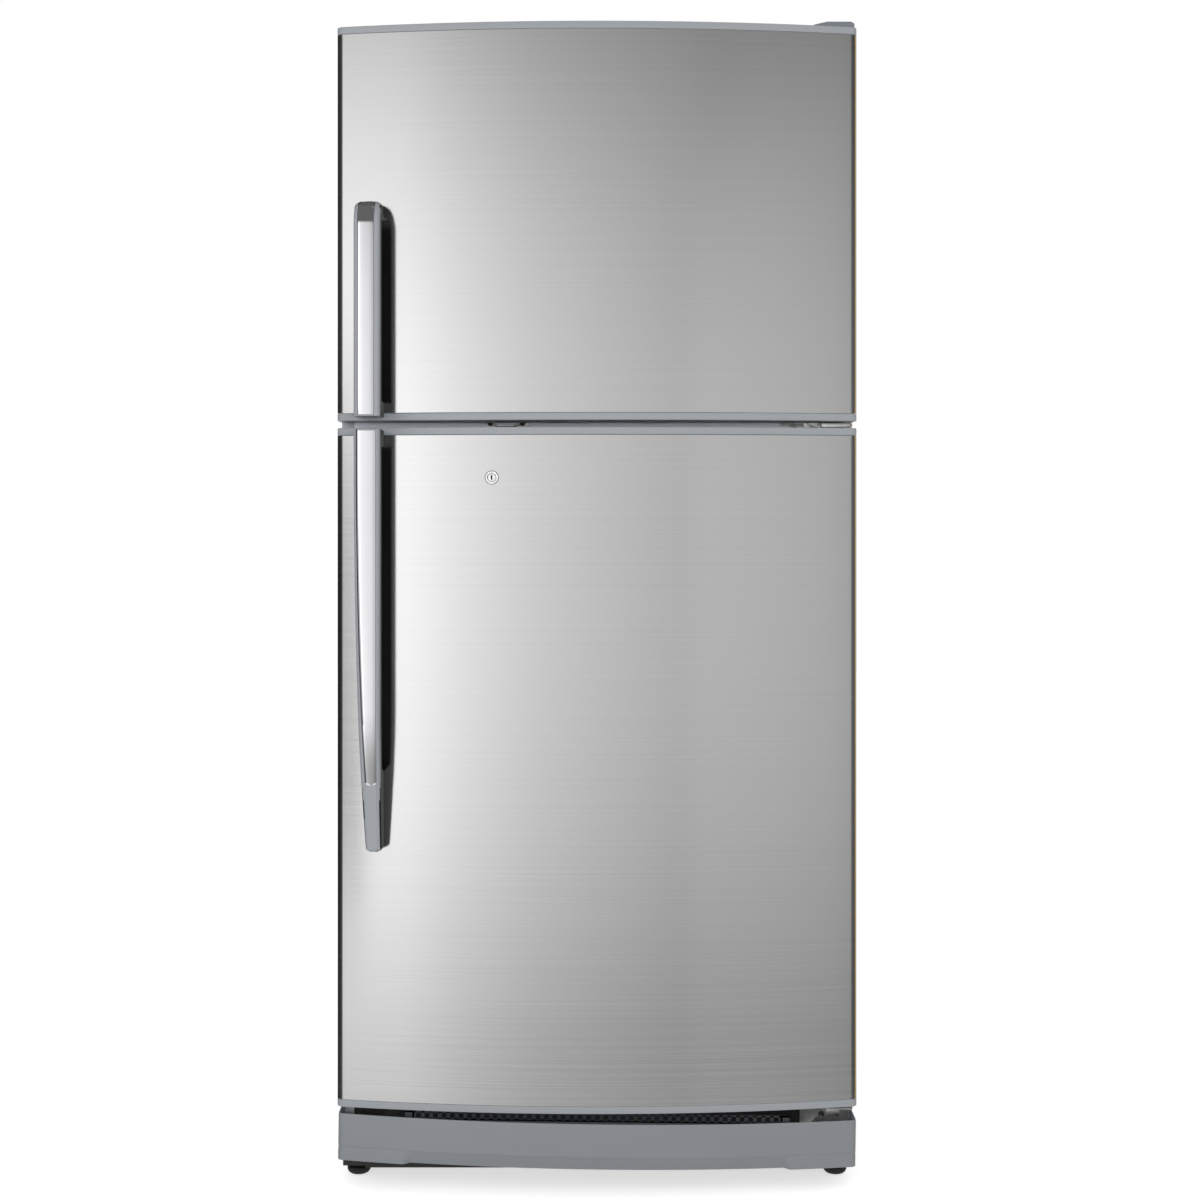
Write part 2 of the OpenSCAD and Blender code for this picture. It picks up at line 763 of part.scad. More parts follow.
module roller_left() {
    translate([-roller_x, roller_y, roller_r]) roller();
}

module roller_right() {
    translate([roller_x, roller_y, roller_r]) roller();
}

// Machine bay
comp_r = 78;
comp_x = -140;
comp_y = (bay_y0 + y_back) / 2;
comp_lift = 12;
comp_z = tray_z + rail_t + comp_lift;
comp_h = 122;

module compressor() {
    base_r = 16;
    dome_r = 30;
    seam_h = 6;
    seam_out = 4;
    plate = [190, 120];
    plate_r = 14;
    plate_t = 3;
    stud = [82, 46];
    stud_r = 9;
    box_in = 12;
    box_out = 34;
    box_half = 32;
    box_z = [20, 88];
    color("#26282a") {
        translate([comp_x, comp_y, comp_z]) rotate_extrude() {
            square([comp_r - base_r, comp_h]);
            translate([0, base_r]) square([comp_r, comp_h - base_r - dome_r]);
            intersection() {
                translate([comp_r - base_r, base_r]) circle(base_r);
                square([comp_r, comp_h / 2]);
            }
            intersection() {
                translate([comp_r - dome_r, comp_h - dome_r]) circle(dome_r);
                square([comp_r, comp_h]);
            }
            translate([0, (comp_h - seam_h) / 2]) square([comp_r + seam_out, seam_h]);
        }
        translate([comp_x, comp_y, comp_z - plate_t]) linear_extrude(plate_t + 1)
            round_rect(plate[0], plate[1], plate_r);
        for (sx = [-1, 1], sy = [-1, 1])
            translate([comp_x + sx * stud[0], comp_y + sy * stud[1], tray_z + rail_t + seat])
                cylinder(r = stud_r, h = comp_lift - 2);
        span([comp_x + comp_r - box_in, comp_y - box_half, comp_z + box_z[0]],
            [comp_x + comp_r + box_out, comp_y + box_half, comp_z + box_z[1]]);
    }
}

pan_x = 120;
module drip_pan() {
    wall = 2;
    half = 110;
    h = 50;
    r = 16;
    y0 = bay_y0 + 20;
    y1 = y_back - 30;
    z0 = tray_z + rail_t + seat;
    z1 = tray_z + rail_t + h;
    color("dimgray") difference() {
        z_block(pan_x - half, pan_x + half, y0, y1, z0, z1, r);
        z_block(pan_x - half + wall, pan_x + half - wall, y0 + wall, y1 - wall, z0 + wall, z1 + 1, r - wall);
    }
}

module machine_cover() {
    wall = 1.2;
    n = 9;
    vent_w = 120;
    vent_h = 6;
    vent_x = 170;
    vent_z0 = 70;
    pitch = 16;
    gland_in = 70;
    gland_down = 60;
    gland_r = 11;
    cord_r = 4;
    gland_in_l = 10;
    gland_out_l = 5;
    color("gainsboro") difference() {
        union() {
            span([-half_w + sheet_t + seat, y_back - wall, sheet_clear],
                [half_w - sheet_t - seat, y_back, bay_z1 - seat]);
            y_rod(half_w - gland_in, bay_z1 - gland_down, gland_r, y_back - gland_in_l, y_back + gland_out_l);
        }
        for (side = [-1, 1], i = [0:n - 1])
            let (x = side * vent_x, z = vent_z0 + i * pitch)
                y_block(x - vent_w / 2, x + vent_w / 2, z, z + vent_h, y_back - 2 * wall, y_back + 1,
                    vent_h / 2 - 0.1);
        y_rod(half_w - gland_in, bay_z1 - gland_down, cord_r, y_back - gland_in_l - 1,
            y_back + gland_out_l + 1);
    }
}

// Freezer compartment
y_evap = y_in - evap_space;
evap_t = 3;
fan_z = ice_z1 - 96;
fan_r = 52;
fan_room = 3;
shroud_t = 2;
fan_y = y_evap + 14;
motor_r = 26;
shaft_r = 2.5;

module evaporator() {
    rows = 6;
    tube_r = 4;
    pitch = 38;
    z0 = ice_z0 + 22;
    half = ice_half - 34;
    y0 = y_evap + 12;
    fin_d = 50;
    fin_over = 14;
    fin_in = 16;
    fin_t = 1;
    bracket_in = 8;
    bracket_t = 2;
    z_fin = z0 + (rows - 1) * pitch + fin_over;
    columns = [y0 + fin_d / 4, y0 + fin_d * 3 / 4];
    color("lightgray") {
        for (i = [0:fin_count - 1])
            let (x = -half + fin_in + i * 2 * (half - fin_in) / (fin_count - 1))
                span([x - fin_t / 2, y0, z0 - fin_over], [x + fin_t / 2, y0 + fin_d, z_fin]);
        for (y = columns, r = [0:rows - 1]) x_rod(y, z0 + r * pitch, tube_r, -half, half);
        for (side = [-1, 1], r = [0:rows - 1])
            translate([side * half, (columns[0] + columns[1]) / 2, z0 + r * pitch])
                rotate([0, 0, side * 90 + 180]) rotate_extrude(angle = 180)
                    translate([fin_d / 4, 0]) circle(tube_r, $fn = 24);
        for (side = [-1, 1]) mirror([side < 0 ? 1 : 0, 0, 0])
            span([half - bracket_in, y0, z0 - fin_over - 2],
                [half - bracket_in + bracket_t, y_in - seat, z_fin + 2]);
    }
}

module evaporator_cover() {
    shroud_l = 30;
    grid_pitch = 11;
    grid_half = 3;
    slots = 9;
    slot_step = 50;
    slot_l = 36;
    slot_z = [14, 24];
    color("whitesmoke") difference() {
        union() {
            y_block(-ice_half + 1, ice_half - 1, ice_z0 + rest_gap, ice_z1 - 1, y_evap, y_evap + evap_t,
                liner_r);
            difference() {
                y_rod(0, fan_z, fan_r + fan_room + shroud_t, y_evap, y_evap + shroud_l);
                y_rod(0, fan_z, fan_r + fan_room, y_evap - 1, y_evap + shroud_l + 1);
            }
        }
        for (i = [-4:4])
            let (reach = sqrt(pow(fan_r, 2) - pow(i * grid_pitch, 2)), z = fan_z + i * grid_pitch)
                y_block(-reach, reach, z - grid_half, z + grid_half, y_evap - 1, y_evap + evap_t + 1,
                    grid_half - 0.1);
        for (i = [0:slots - 1])
            let (x = (i - slots / 2) * slot_step)
                y_block(x, x + slot_l, ice_z0 + slot_z[0], ice_z0 + slot_z[1], y_evap - 1,
                    y_evap + evap_t + 1, 4);
    }
}

module fan_motor() {
    body_l = 22;
    strut_in = 3;
    strut_t = 4;
    strut_out = fan_r + fan_room + shroud_t + 4;
    y0 = fan_y + 26;
    color("dimgray") {
        y_rod(0, fan_z, motor_r, y0, y0 + body_l);
        y_rod(0, fan_z, shaft_r, fan_y - 2, y0 + 1);
        for (turn = [45:90:315]) translate([0, 0, fan_z]) rotate([0, turn, 0]) {
            span([motor_r - strut_in, y0, -strut_t], [strut_out, y0 + strut_t, strut_t]);
            span([fan_r + fan_room + shroud_t + seat, y_evap + evap_t + seat, -strut_t],
                [strut_out, y0 + strut_t, strut_t]);
        }
    }
}

module fan_blade() {
    hub_r = 14;
    blades = 5;
    hub_l = 18;
    blade_pitch = 34;
    blade_half = 12;
    color("black") translate([0, fan_y, fan_z]) difference() {
        union() {
            rotate([-90, 0, 0]) cylinder(r = hub_r, h = hub_l);
            intersection() {
                for (i = [0:blades - 1]) rotate([0, i * 360 / blades, 0]) translate([hub_r - 3, hub_l / 2, 0])
                    rotate([blade_pitch, 0, 0]) span([0, -1, -blade_half], [fan_r, 1, blade_half]);
                rotate([-90, 0, 0]) cylinder(r = fan_r - 2, h = hub_l);
            }
        }
        rotate([-90, 0, 0]) translate([0, 0, -1]) cylinder(r = shaft_r + pin_play, h = hub_l + 2);
    }
}

freezer_shelf_z = ice_z0 + freezer_shelf_up;
module freezer_shelf() {
    n = 15;
    h = 10;
    rim = 24;
    spine = 14;
    side_play = 1.5;
    y0 = y_cab + shelf_back - 15;
    y1 = y_evap - 6;
    pitch = (y1 - y0 - 2 * rim + 8) / n;
    color("whitesmoke") difference() {
        z_block(-ice_half + side_play, ice_half - side_play, y0, y1, freezer_shelf_z, freezer_shelf_z + h, 6);
        for (side = [-1, 1], i = [0:n - 1])
            let (y = y0 + rim + i * pitch)
                span([side > 0 ? spine : -ice_half + rim, y, freezer_shelf_z - 1],
                    [side > 0 ? ice_half - rim : -spine, y + pitch / 2, freezer_shelf_z + h + 1]);
    }
}

// Ice maker: a stand, a tray that turns over and a bin below it
ice_x0 = -ice_half + liner_clear;
ice_x1 = ice_x0 + ice_w;
ice_xm = (ice_x0 + ice_x1) / 2;
ice_l = 250;
ice_y0 = y_cab + shelf_back - 12;
ice_y1 = ice_y0 + ice_l;
ice_t = 3;
tray_axis_z = ice_z0 + 172;
tray_half = 50;
tray_pin_r = 4;
tray_up = 10;
tray_down = 22;
ice_bin_h = 100;

module ice_stand() {
    ear = 14;
    window_in = 30;
    window_z = [120, 150];
    z1 = freezer_shelf_z - 4;
    color("white") difference() {
        union() {
            for (x = [ice_x0, ice_x1 - ice_t])
                span([x, ice_y0, ice_z0 + seat], [x + ice_t, ice_y1, z1]);
            span([ice_x0, ice_y0, z1 - ice_t], [ice_x1, ice_y1, z1]);
            for (y = [ice_y0, ice_y1 - ice_t])
                span([ice_x0, y, tray_axis_z - ear], [ice_x1, y + ice_t, tray_axis_z + ear]);
        }
        y_rod(ice_xm, tray_axis_z, tray_pin_r + pin_play, ice_y0 - 1, ice_y1 + 1);
        for (x = [ice_x0, ice_x1 - ice_t])
            span([x - 1, ice_y0 + window_in, ice_z0 + window_z[0]],
                [x + ice_t + 1, ice_y1 - window_in, ice_z0 + window_z[1]]);
    }
}

module ice_tray() {
    wall = 2;
    y0 = ice_y0 + ice_t + 2;
    y1 = ice_y1 - ice_t - 2;
    knob_r = 13;
    knob_l = 13;
    grip_half = 15;
    cup_rows = 6;
    cup_l = (y1 - y0 - wall) / cup_rows;
    cup_w = (2 * tray_half - wall) / 2;
    color("lightcyan") {
        difference() {
            span([ice_xm - tray_half, y0, tray_axis_z - tray_down],
                [ice_xm + tray_half, y1, tray_axis_z + tray_up]);
            span([ice_xm - tray_half + wall, y0 + wall, tray_axis_z + tray_up - 10],
                [ice_xm + tray_half - wall, y1 - wall, tray_axis_z + tray_up + 1]);
            for (side = [0, 1], i = [0:cup_rows - 1])
                translate([ice_xm - tray_half + wall + side * cup_w, y0 + wall + i * cup_l,
                    tray_axis_z - tray_down + wall])
                    cube([cup_w - wall, cup_l - wall, tray_down + tray_up]);
        }
        y_rod(ice_xm, tray_axis_z, tray_pin_r, ice_y0 - 4, y0 + 1);
        y_rod(ice_xm, tray_axis_z, tray_pin_r, y1 - 1, ice_y1 - 0.5);
        y_rod(ice_xm, tray_axis_z, knob_r, ice_y0 - 1 - knob_l, ice_y0 - 1);
        span([ice_xm - 3, ice_y0 - knob_l - 9, tray_axis_z - grip_half],
            [ice_xm + 3, ice_y0 - knob_l, tray_axis_z + grip_half]);
    }
}

module open_box(x0, x1, y0, y1, z0, z1, r, wall) {
    difference() {
        z_block(x0, x1, y0, y1, z0, z1, r);
        z_block(x0 + wall, x1 - wall, y0 + wall, y1 - wall, z0 + wall, z1 + 1, max(r - wall, 1));
    }
}

module ice_bin() {
    x0 = ice_x0 + ice_t + 2;
    x1 = ice_x1 - ice_t - 2;
    ahead = 8;
    corner_r = 8;
    pull_in = 24;
    pull_out = 9;
    pull_down = 14;
    pull_t = 3;
    y0 = ice_y0 - ahead;
    z0 = ice_z0 + rest_gap;
    color("aliceblue") {
        open_box(x0, x1, y0, ice_y1 - ahead, z0, z0 + ice_bin_h, corner_r, bin_t);
        span([x0 + pull_in, y0 - pull_out, z0 + ice_bin_h - pull_down],
            [x1 - pull_in, y0 + 1, z0 + ice_bin_h - pull_down + pull_t]);
    }
}

// Refrigerator compartment
control_half = 150;
control_l = 190;
control_y0 = y_cab + 70;
control_y1 = control_y0 + control_l;
control_h = 38;
control_z0 = cool_z1 - control_h;
knob_r = 15;
knob_z = control_z0 + 18;
knob_shaft_r = 3;
knob_deep = 16;
switch_x = 110;
switch_r = 4;
dyke_in = 30;
switch_in = 24;

module control_housing() {
    front = 14;
    slope_l = 40;
    chamfer = 2;
    color("white") difference() {
        translate([-control_half, 0, 0]) rotate([90, 0, 90]) linear_extrude(2 * control_half) polygon([
            [control_y0, control_z0 + chamfer], [control_y0 + chamfer, control_z0],
            [control_y1 - slope_l, control_z0], [control_y1, cool_z1 - front], [control_y1, cool_z1 - seat],
            [control_y0 + 2 * chamfer, cool_z1 - seat], [control_y0, cool_z1 - 2 * chamfer]]);
        y_rod(0, knob_z, knob_shaft_r + pin_play, control_y0 - 1, control_y0 + knob_deep);
        y_rod(switch_x, knob_z, switch_r + pin_play, control_y0 - 1, control_y0 + switch_in + 2);
    }
}

module control_knob() {
    depth = 12;
    grip_out = 7;
    grip_half = 2;
    color("white") {
        y_rod(0, knob_z, knob_r, control_y0 - 1 - depth, control_y0 - 1);
        y_rod(0, knob_z, knob_shaft_r, control_y0 - 2, control_y0 + knob_deep - 1);
        span([-grip_half, control_y0 - depth - grip_out, knob_z - knob_r + grip_half],
            [grip_half, control_y0 - depth, knob_z + knob_r - grip_half]);
    }
}

module light_switch() {
    tip = y_cab + dyke_in + 0.4;
    color("white") {
        y_rod(switch_x, knob_z, switch_r, tip, control_y0 + switch_in);
    }
}

lamp_half = 60;
module lamp_cover() {
    wall = 1.6;
    depth = 14;
    corner_r = 8;
    y0 = control_y0 + 20;
    y1 = y0 + 90;
    z1 = control_z0 - seat;
    z0 = z1 - depth;
    color("aliceblue", 0.8) difference() {
        z_block(-lamp_half, lamp_half, y0, y1, z0, z1, corner_r);
        z_block(-lamp_half + wall, lamp_half - wall, y0 + wall, y1 - wall, z0 + wall, z1 + 1,
            corner_r - wall);
    }
}

cover_top = step_z + 10.5;
cover_ahead = 4;
shelf_top = control_z0 - 20;
function shelf_z(i) = cover_top + (i + 1) * (shelf_top - cover_top) / (shelf_count + 1);
shelf_h = 12;
glass_t = 4;
pane_r = 4;
trim = 22;
lip = 6;

// Frame with a glass sunk in its top: outer size, height and rear edge given
module glazed_frame(half, y0, y1, z) {
    difference() {
        z_block(-half, half, y0, y1, z, z + shelf_h, pane_r + 1);
        z_block(-half + trim, half - trim, y0 + trim, y1 - trim, z - 1, z + shelf_h + 1, pane_r);
        z_block(-half + trim - lip, half - trim + lip, y0 + trim - lip, y1 - trim + lip,
            z + shelf_h - glass_t - seat, z + shelf_h + 1, pane_r);
    }
}

module glass_plate(half, y0, y1, z) {
    in = trim - lip + seat;
    z_block(-half + in, half - in, y0 + in, y1 - in, z + shelf_h - glass_t, z + shelf_h, pane_r);
}

shelf_half = cool_half - 1.5;
shelf_y0 = y_cab + shelf_back;
shelf_y1 = y_in - 16;
module shelf_frames() {
    color("whitesmoke") for (i = [0:shelf_count - 1])
        glazed_frame(shelf_half, shelf_y0, shelf_y1, shelf_z(i));
}

module shelf_glass() {
    color("lightcyan", 0.5) for (i = [0:shelf_count - 1])
        glass_plate(shelf_half, shelf_y0, shelf_y1, shelf_z(i));
}

module crisper_cover() {
    h = cover_top - step_z - seat;
    color("lightcyan")
        z_block(-shelf_half, shelf_half, shelf_y0 - cover_ahead, step_y - 1, step_z + seat,
            step_z + seat + h, 6);
}

crisper_gap = 3;
crisper_z0 = cool_z0 + rest_gap;
crisper_z1 = step_z - 9;
module crisper(side) {
    x0 = side > 0 ? crisper_gap : -cool_half + liner_clear;
    x1 = side > 0 ? cool_half - liner_clear : -crisper_gap;
    y0 = shelf_y0;
    y1 = step_y - 6;
    corner_r = 10;
    grip_w = 110;
    grip_half = 20;
    grip_r = 12;
    pull_in = 14;
    pull_out = 8;
    pull_z = crisper_z1 - 40;
    pull_t = 4;
    xm = (x0 + x1) / 2;
    color("aliceblue") {
        difference() {
            open_box(x0, x1, y0, y1, crisper_z0, crisper_z1, corner_r, bin_t);
            y_block(xm - grip_w / 2, xm + grip_w / 2, crisper_z1 - grip_half, crisper_z1 + grip_half,
                y0 - 1, y0 + bin_t + 1, grip_r);
        }
        span([x0 + pull_in, y0 - pull_out, pull_z], [x1 - pull_in, y0 + 1, pull_z + pull_t]);
    }
}

module crisper_left() {
    crisper(-1);
}

module crisper_right() {
    crisper(1);
}

// Doors

plate_in = 7;
spigot_h = 8;
spigot_t = 2.5;
fold_in = 14;

module door_skin(z0, z1) {
    color("silver") {
        difference() {
            door_slab(0, y_pan, z0 + cap_h + seat, z1 - cap_h - seat);
            door_slab(skin_t, y_pan - skin_t, z0, z1);
            span([-half_w + fold_in, y_pan - 2 * skin_t, z0], [half_w - fold_in, y_pan + 1, z1]);
        }
    }
}

// Cap with its mouth towards +Z, its outer face at height 0
module door_cap() {
    color("#9ba0a6") difference() {
        union() {
            door_slab(0, y_pan, 0, cap_h);
            difference() {
                door_slab(skin_t + seat, y_pan - skin_t - seat, cap_h - eps, cap_h + spigot_h);
                door_slab(skin_t + seat + spigot_t, y_pan - skin_t - seat - spigot_t, cap_h - 1,
                    cap_h + spigot_h + 1);
            }
            translate([hinge_x, hinge_y, 0]) cylinder(r = boss_r, h = boss_h);
        }
        translate([hinge_x, hinge_y, -1]) cylinder(r = pin_r + pin_play, h = pin_deep + 1);
    }
}

module cap_down(z) {
    translate([0, 0, z]) mirror([0, 0, 1]) door_cap();
}

// Ring of the door liner that reaches into the cabinet
ring_w = 24;
ring_r = 18;
ring_gap = 10;
ledge_w = 5;
ledge_h = 8;
module door_ring(half, z0, z1, y1, inset) {
    difference() {
        y_block(-half + inset, half - inset, z0 + inset, z1 - inset, y_pan - ring_r / 3, y1 - inset,
            ring_r - inset);
        y_block(-half + ring_w - inset, half - ring_w + inset, z0 + ring_w - inset, z1 - ring_w + inset,
            y_pan - ring_r / 2, y1 + 1, ring_r - ledge_h + inset);
    }
}

module door_foam(z0, z1, half, ring_z0, ring_z1) {
    solid_end = cap_h + spigot_h + seat;
    color("khaki") difference() {
        union() {
            door_slab(skin_t, y_pan - skin_t - seat, z0 + solid_end, z1 - solid_end);
            door_slab(skin_t + spigot_t + 2 * seat, y_pan - skin_t - spigot_t - 2 * seat, z0 + cap_h + seat,
                z1 - cap_h - seat);
            intersection() {
                door_ring(half, ring_z0, ring_z1, y_cab + dyke_in, liner_t);
                span([-half_w, y_pan - 4, z0], [half_w, y_cab + 2 * dyke_in, z1]);
            }
        }
        for (z = [z0, z1 - boss_h - seat])
            translate([hinge_x, hinge_y, z]) cylinder(r = boss_r + seat, h = boss_h + seat);
        children();
    }
}

// Inner door panel: flat rim, ring and ledges that carry the bins
module door_liner(z0, z1, half, ring_z0, ring_z1, ledges) {
    color("white") difference() {
        union() {
            span([-half_w + plate_in, y_pan, z0 + plate_in],
                [half_w - plate_in, y_pan + liner_t, z1 - plate_in]);
            intersection() {
                door_ring(half, ring_z0, ring_z1, y_cab + dyke_in, 0);
                span([-half_w, y_pan, z0], [half_w, y_cab + 2 * dyke_in, z1]);
            }
            for (z = ledges, side = [-1, 1]) mirror([side < 0 ? 1 : 0, 0, 0])
                span([half - ring_w - ledge_w, y_pan + liner_t - eps, z - ledge_h],
                    [half - ring_w + 1, y_cab + dyke_in - ledge_w - 1, z]);
        }
        door_ring(half, ring_z0, ring_z1, y_cab + dyke_in, liner_t);
        children();
    }
}

module door_seal(x, z0, z1) {
    corner_r = 8;
    color("gainsboro") difference() {
        y_block(-x, x, z0, z1, y_pan + liner_t + seat, y_cab - rest_gap, corner_r);
        y_block(-x + seal_w, x - seal_w, z0 + seal_w, z1 - seal_w, y_pan, y_cab + 1, corner_r / 2);
    }
}

// Bins resting on the door's ledges, one at each height
module bins(half, reach, levels, height) {
    front_r = 14;
    back_d = 20;
    w = half - ring_w - 1;
    y0 = y_pan + liner_t + 0.5;
    y1 = y_cab + reach;
    color("aliceblue") for (z = levels)
        difference() {
            union() {
                z_block(-w, w, y0, y1, z + seat, z + height, front_r);
                span([-w, y0, z + seat], [w, y0 + back_d, z + height]);
            }
            z_block(-w + bin_t, w - bin_t, y0 + bin_t, y1 - bin_t, z + bin_t, z + height + 1,
                front_r - bin_t + 0.5);
        }
}

freezer_ring_half = ice_half - ring_gap;
freezer_ring_z0 = ice_z0 + 8;
freezer_ring_z1 = ice_z1 - 8;
freezer_bin_h = 76;
freezer_bin_step = 0.46;
bin_up = 14;
freezer_levels = [for (i = [0:1])
    freezer_ring_z0 + ring_w + bin_up + i * (freezer_ring_z1 - freezer_ring_z0) * freezer_bin_step];
fridge_ring_half = cool_half - ring_gap;
fridge_ring_z0 = cool_z0 + ring_gap;
fridge_ring_z1 = cool_z1 - ring_gap;
fridge_bin_h = 92;
fridge_bin_step = 0.235;
fridge_levels = [for (i = [0:3])
    fridge_ring_z0 + ring_w + bin_up + i * (fridge_ring_z1 - fridge_ring_z0) * fridge_bin_step];

module freezer_door_skin() {
    door_skin(freezer_z0, freezer_z1);
}

module freezer_top_cap() {
    cap_down(freezer_z1);
}

module freezer_bottom_cap() {
    translate([0, 0, freezer_z0]) door_cap();
}

module freezer_door_foam() {
    door_foam(freezer_z0, freezer_z1, freezer_ring_half, freezer_ring_z0, freezer_ring_z1);
}

module freezer_door_liner() {
    door_liner(freezer_z0, freezer_z1, freezer_ring_half, freezer_ring_z0, freezer_ring_z1, freezer_levels);
}

module freezer_seal() {
    door_seal(ice_half + 30, ice_z0 - 22, ice_z1 + 30);
}

module freezer_bins() {
    bins(freezer_ring_half, freezer_bin_in, freezer_levels, freezer_bin_h);
}

module lock_hole() {
    box_left = 12;
    box_right = 8;
    box_down = 14;
    box_up = 13;
    y_rod(lock_x, lock_z, lock_neck_r + seat, y_bow - 1, y_pan - 8);
    span([lock_x - box_left, cam_y - cam_d, lock_z - box_down],
        [bolt_x + box_right, y_pan - skin_t - 2, lock_z + box_up + bolt_travel]);
    bolt_shaft(bolt_room);
}

// Passage of the bolt, wider than the bolt by play
module bolt_shaft(play) {
    span([bolt_x - bolt_w / 2 - play, bolt_y - bolt_d / 2 - play, lock_z - 10],
        [bolt_x + bolt_w / 2 + play, bolt_y + bolt_d / 2 + play, fridge_z1 + 1]);
}

module fridge_door_skin() {
    difference() {
        door_skin(fridge_z0, fridge_z1);
        y_rod(lock_x, lock_z, lock_neck_r + seat, y_bow - 1, y_corner);
    }
}

module fridge_top_cap() {
    difference() {
        cap_down(fridge_z1);
        bolt_shaft(bolt_room);
    }
}

module fridge_bottom_cap() {
    translate([0, 0, fridge_z0]) door_cap();
}

module fridge_door_foam() {
    door_foam(fridge_z0, fridge_z1, fridge_ring_half, fridge_ring_z0, fridge_ring_z1) lock_hole();
}

module fridge_door_liner() {
    door_liner(fridge_z0, fridge_z1, fridge_ring_half, fridge_ring_z0, fridge_ring_z1, fridge_levels);
}

module fridge_seal() {
    door_seal(cool_half + 23, cool_z0 - 26, cool_z1 + 22);
}

module fridge_bins() {
    bins(fridge_ring_half, fridge_bin_in, fridge_levels, fridge_bin_h);
}

// Lock
module lock_body() {
    flange = 2.6;
    flange_gap = 0.8;
    color("silver") difference() {
        union() {
            y_rod(lock_x, lock_z, lock_r, lock_face - flange, lock_face - flange_gap);
            y_rod(lock_x, lock_z, lock_neck_r, lock_face - 1, cam_y - cam_d - 1);
        }
        y_rod(lock_x, lock_z, lock_core_r + pin_play, lock_face - flange - 1, cam_y);
    }
}

module lock_core() {
    slot_w = 2.4;
    slot_h = 7;
    slot_deep = 12;
    face_out = 2.2;
    cam_r = 3.5;
    cam_l = 11;
    cam_half = 3;
    color("gray") difference() {
        union() {
            y_rod(lock_x, lock_z, lock_core_r, lock_face - face_out, cam_y - cam_d);
            y_rod(lock_x, lock_z, cam_r, cam_y - cam_d - 1, cam_y - 1);
            span([lock_x - cam_half - 1, cam_y - cam_d + 1.5, lock_z - cam_half],
                [lock_x + cam_l, cam_y - cam_half, lock_z + cam_half]);
        }
        span([lock_x - slot_w / 2, lock_face - 2 * face_out, lock_z - slot_h / 2],
            [lock_x + slot_w / 2, lock_face + slot_deep, lock_z + slot_h / 2]);
    }
}

module lock_bolt() {
    lug = 7;
    lug_y = 7;
    lug_z = [8.5, 12];
    color("silver") {
        span([bolt_x - bolt_w / 2, bolt_y - bolt_d / 2, lock_z - 6],
            [bolt_x + bolt_w / 2, bolt_y + bolt_d / 2, fridge_z1 - rest_gap]);
        span([bolt_x - bolt_w / 2 - lug, cam_y - lug_y, lock_z + lug_z[0]],
            [bolt_x - bolt_w / 2 + eps, bolt_y, lock_z + lug_z[1]]);
    }
}

// Handles
groove = strip_t - strip_proud;
strip_share = 0.4;
strip_x0 = handle_x0 + (handle_w - strip_w) * strip_share;
rim_r = 5;
bar_y = y_handle + strip_proud;

// Section of the bar: x across, the front face at 0 and the depth away from it
module bar_section() {
    difference() {
        union() {
            translate([handle_x0 + rim_r, 0]) square([handle_w - 2 * rim_r, handle_bar]);
            translate([handle_x0, rim_r]) square([handle_w, handle_bar - rim_r]);
            for (x = [handle_x0 + rim_r, handle_x1 - rim_r]) translate([x, rim_r]) circle(rim_r);
        }
        translate([strip_x0 - seat, -1]) square([strip_w + 2 * seat, groove + 1]);
    }
}

// Section of the chrome strip, crowned at its front
module strip_section() {
    crown_r = 64;
    intersection() {
        translate([strip_x0, -strip_proud]) square([strip_w, strip_t - seat]);
        translate([strip_x0 + strip_w / 2, crown_r - strip_proud]) circle(crown_r, $fn = 180);
    }
}

// Sweep of a section up the freezer handle, round its bend and back to the door
freezer_handle_z0 = freezer_z0 + handle_end;
freezer_handle_z1 = freezer_handle_z0 + freezer_handle_h;
bend_z = freezer_handle_z1 - handle_bend;
bend_y = bar_y + handle_bend;
module handle_sweep(z0, root) {
    translate([0, bar_y, z0]) linear_extrude(bend_z - z0) children();
    translate([0, bend_y, bend_z]) rotate([90, 0, -90])
        rotate_extrude(angle = 90, $fn = 144) translate([handle_bend, 0]) mirror([1, 1]) children();
    translate([0, bend_y, freezer_handle_z1]) rotate([-90, 0, 0]) linear_extrude(root) children();
}

module freezer_handle() {
    top_r = 9;
    color("#a2a7ad") difference() {
        union() {
            intersection() {
                handle_sweep(freezer_handle_z0, handle_out) bar_section();
                y_block(handle_x0, handle_x1, freezer_handle_z0 - 2 * top_r, freezer_handle_z1,
                    bar_y - 1, y_pan, top_r);
            }
            span([handle_x0, bar_y + handle_bar - 1, freezer_handle_z0],
                [handle_x1, y_pan - 1, freezer_handle_z0 + handle_post]);
        }
        door_slab(-seat, y_pan, freezer_z0, freezer_z1);
    }
}

module freezer_handle_strip() {
    color("#e8eaec") handle_sweep(freezer_handle_z0 + 2, 11) strip_section();
}

// Lower handle: each station gives the distance below its cut end, how far its left
// edge moves in and how far its front falls back
fridge_handle_z1 = fridge_z1 - handle_end;
fridge_handle_z0 = fridge_handle_z1 - fridge_handle_h;
tail_in = 15;
taper_curve = 2.2;
tail_back = 23;
tail_h = 200;
swell = fridge_handle_h - tail_h;
tip_h = 6;
tail_curve = 1.6;
stations = [0, swell, swell + 0.55 * tail_h, fridge_handle_h - tip_h];
function edge_in(down) = tail_in * pow(max(down, 0) / fridge_handle_h, taper_curve);
function front_back(down) = down <= swell ? 0 : tail_back * pow((down - swell) / tail_h, tail_curve);

slice_t = 0.2;
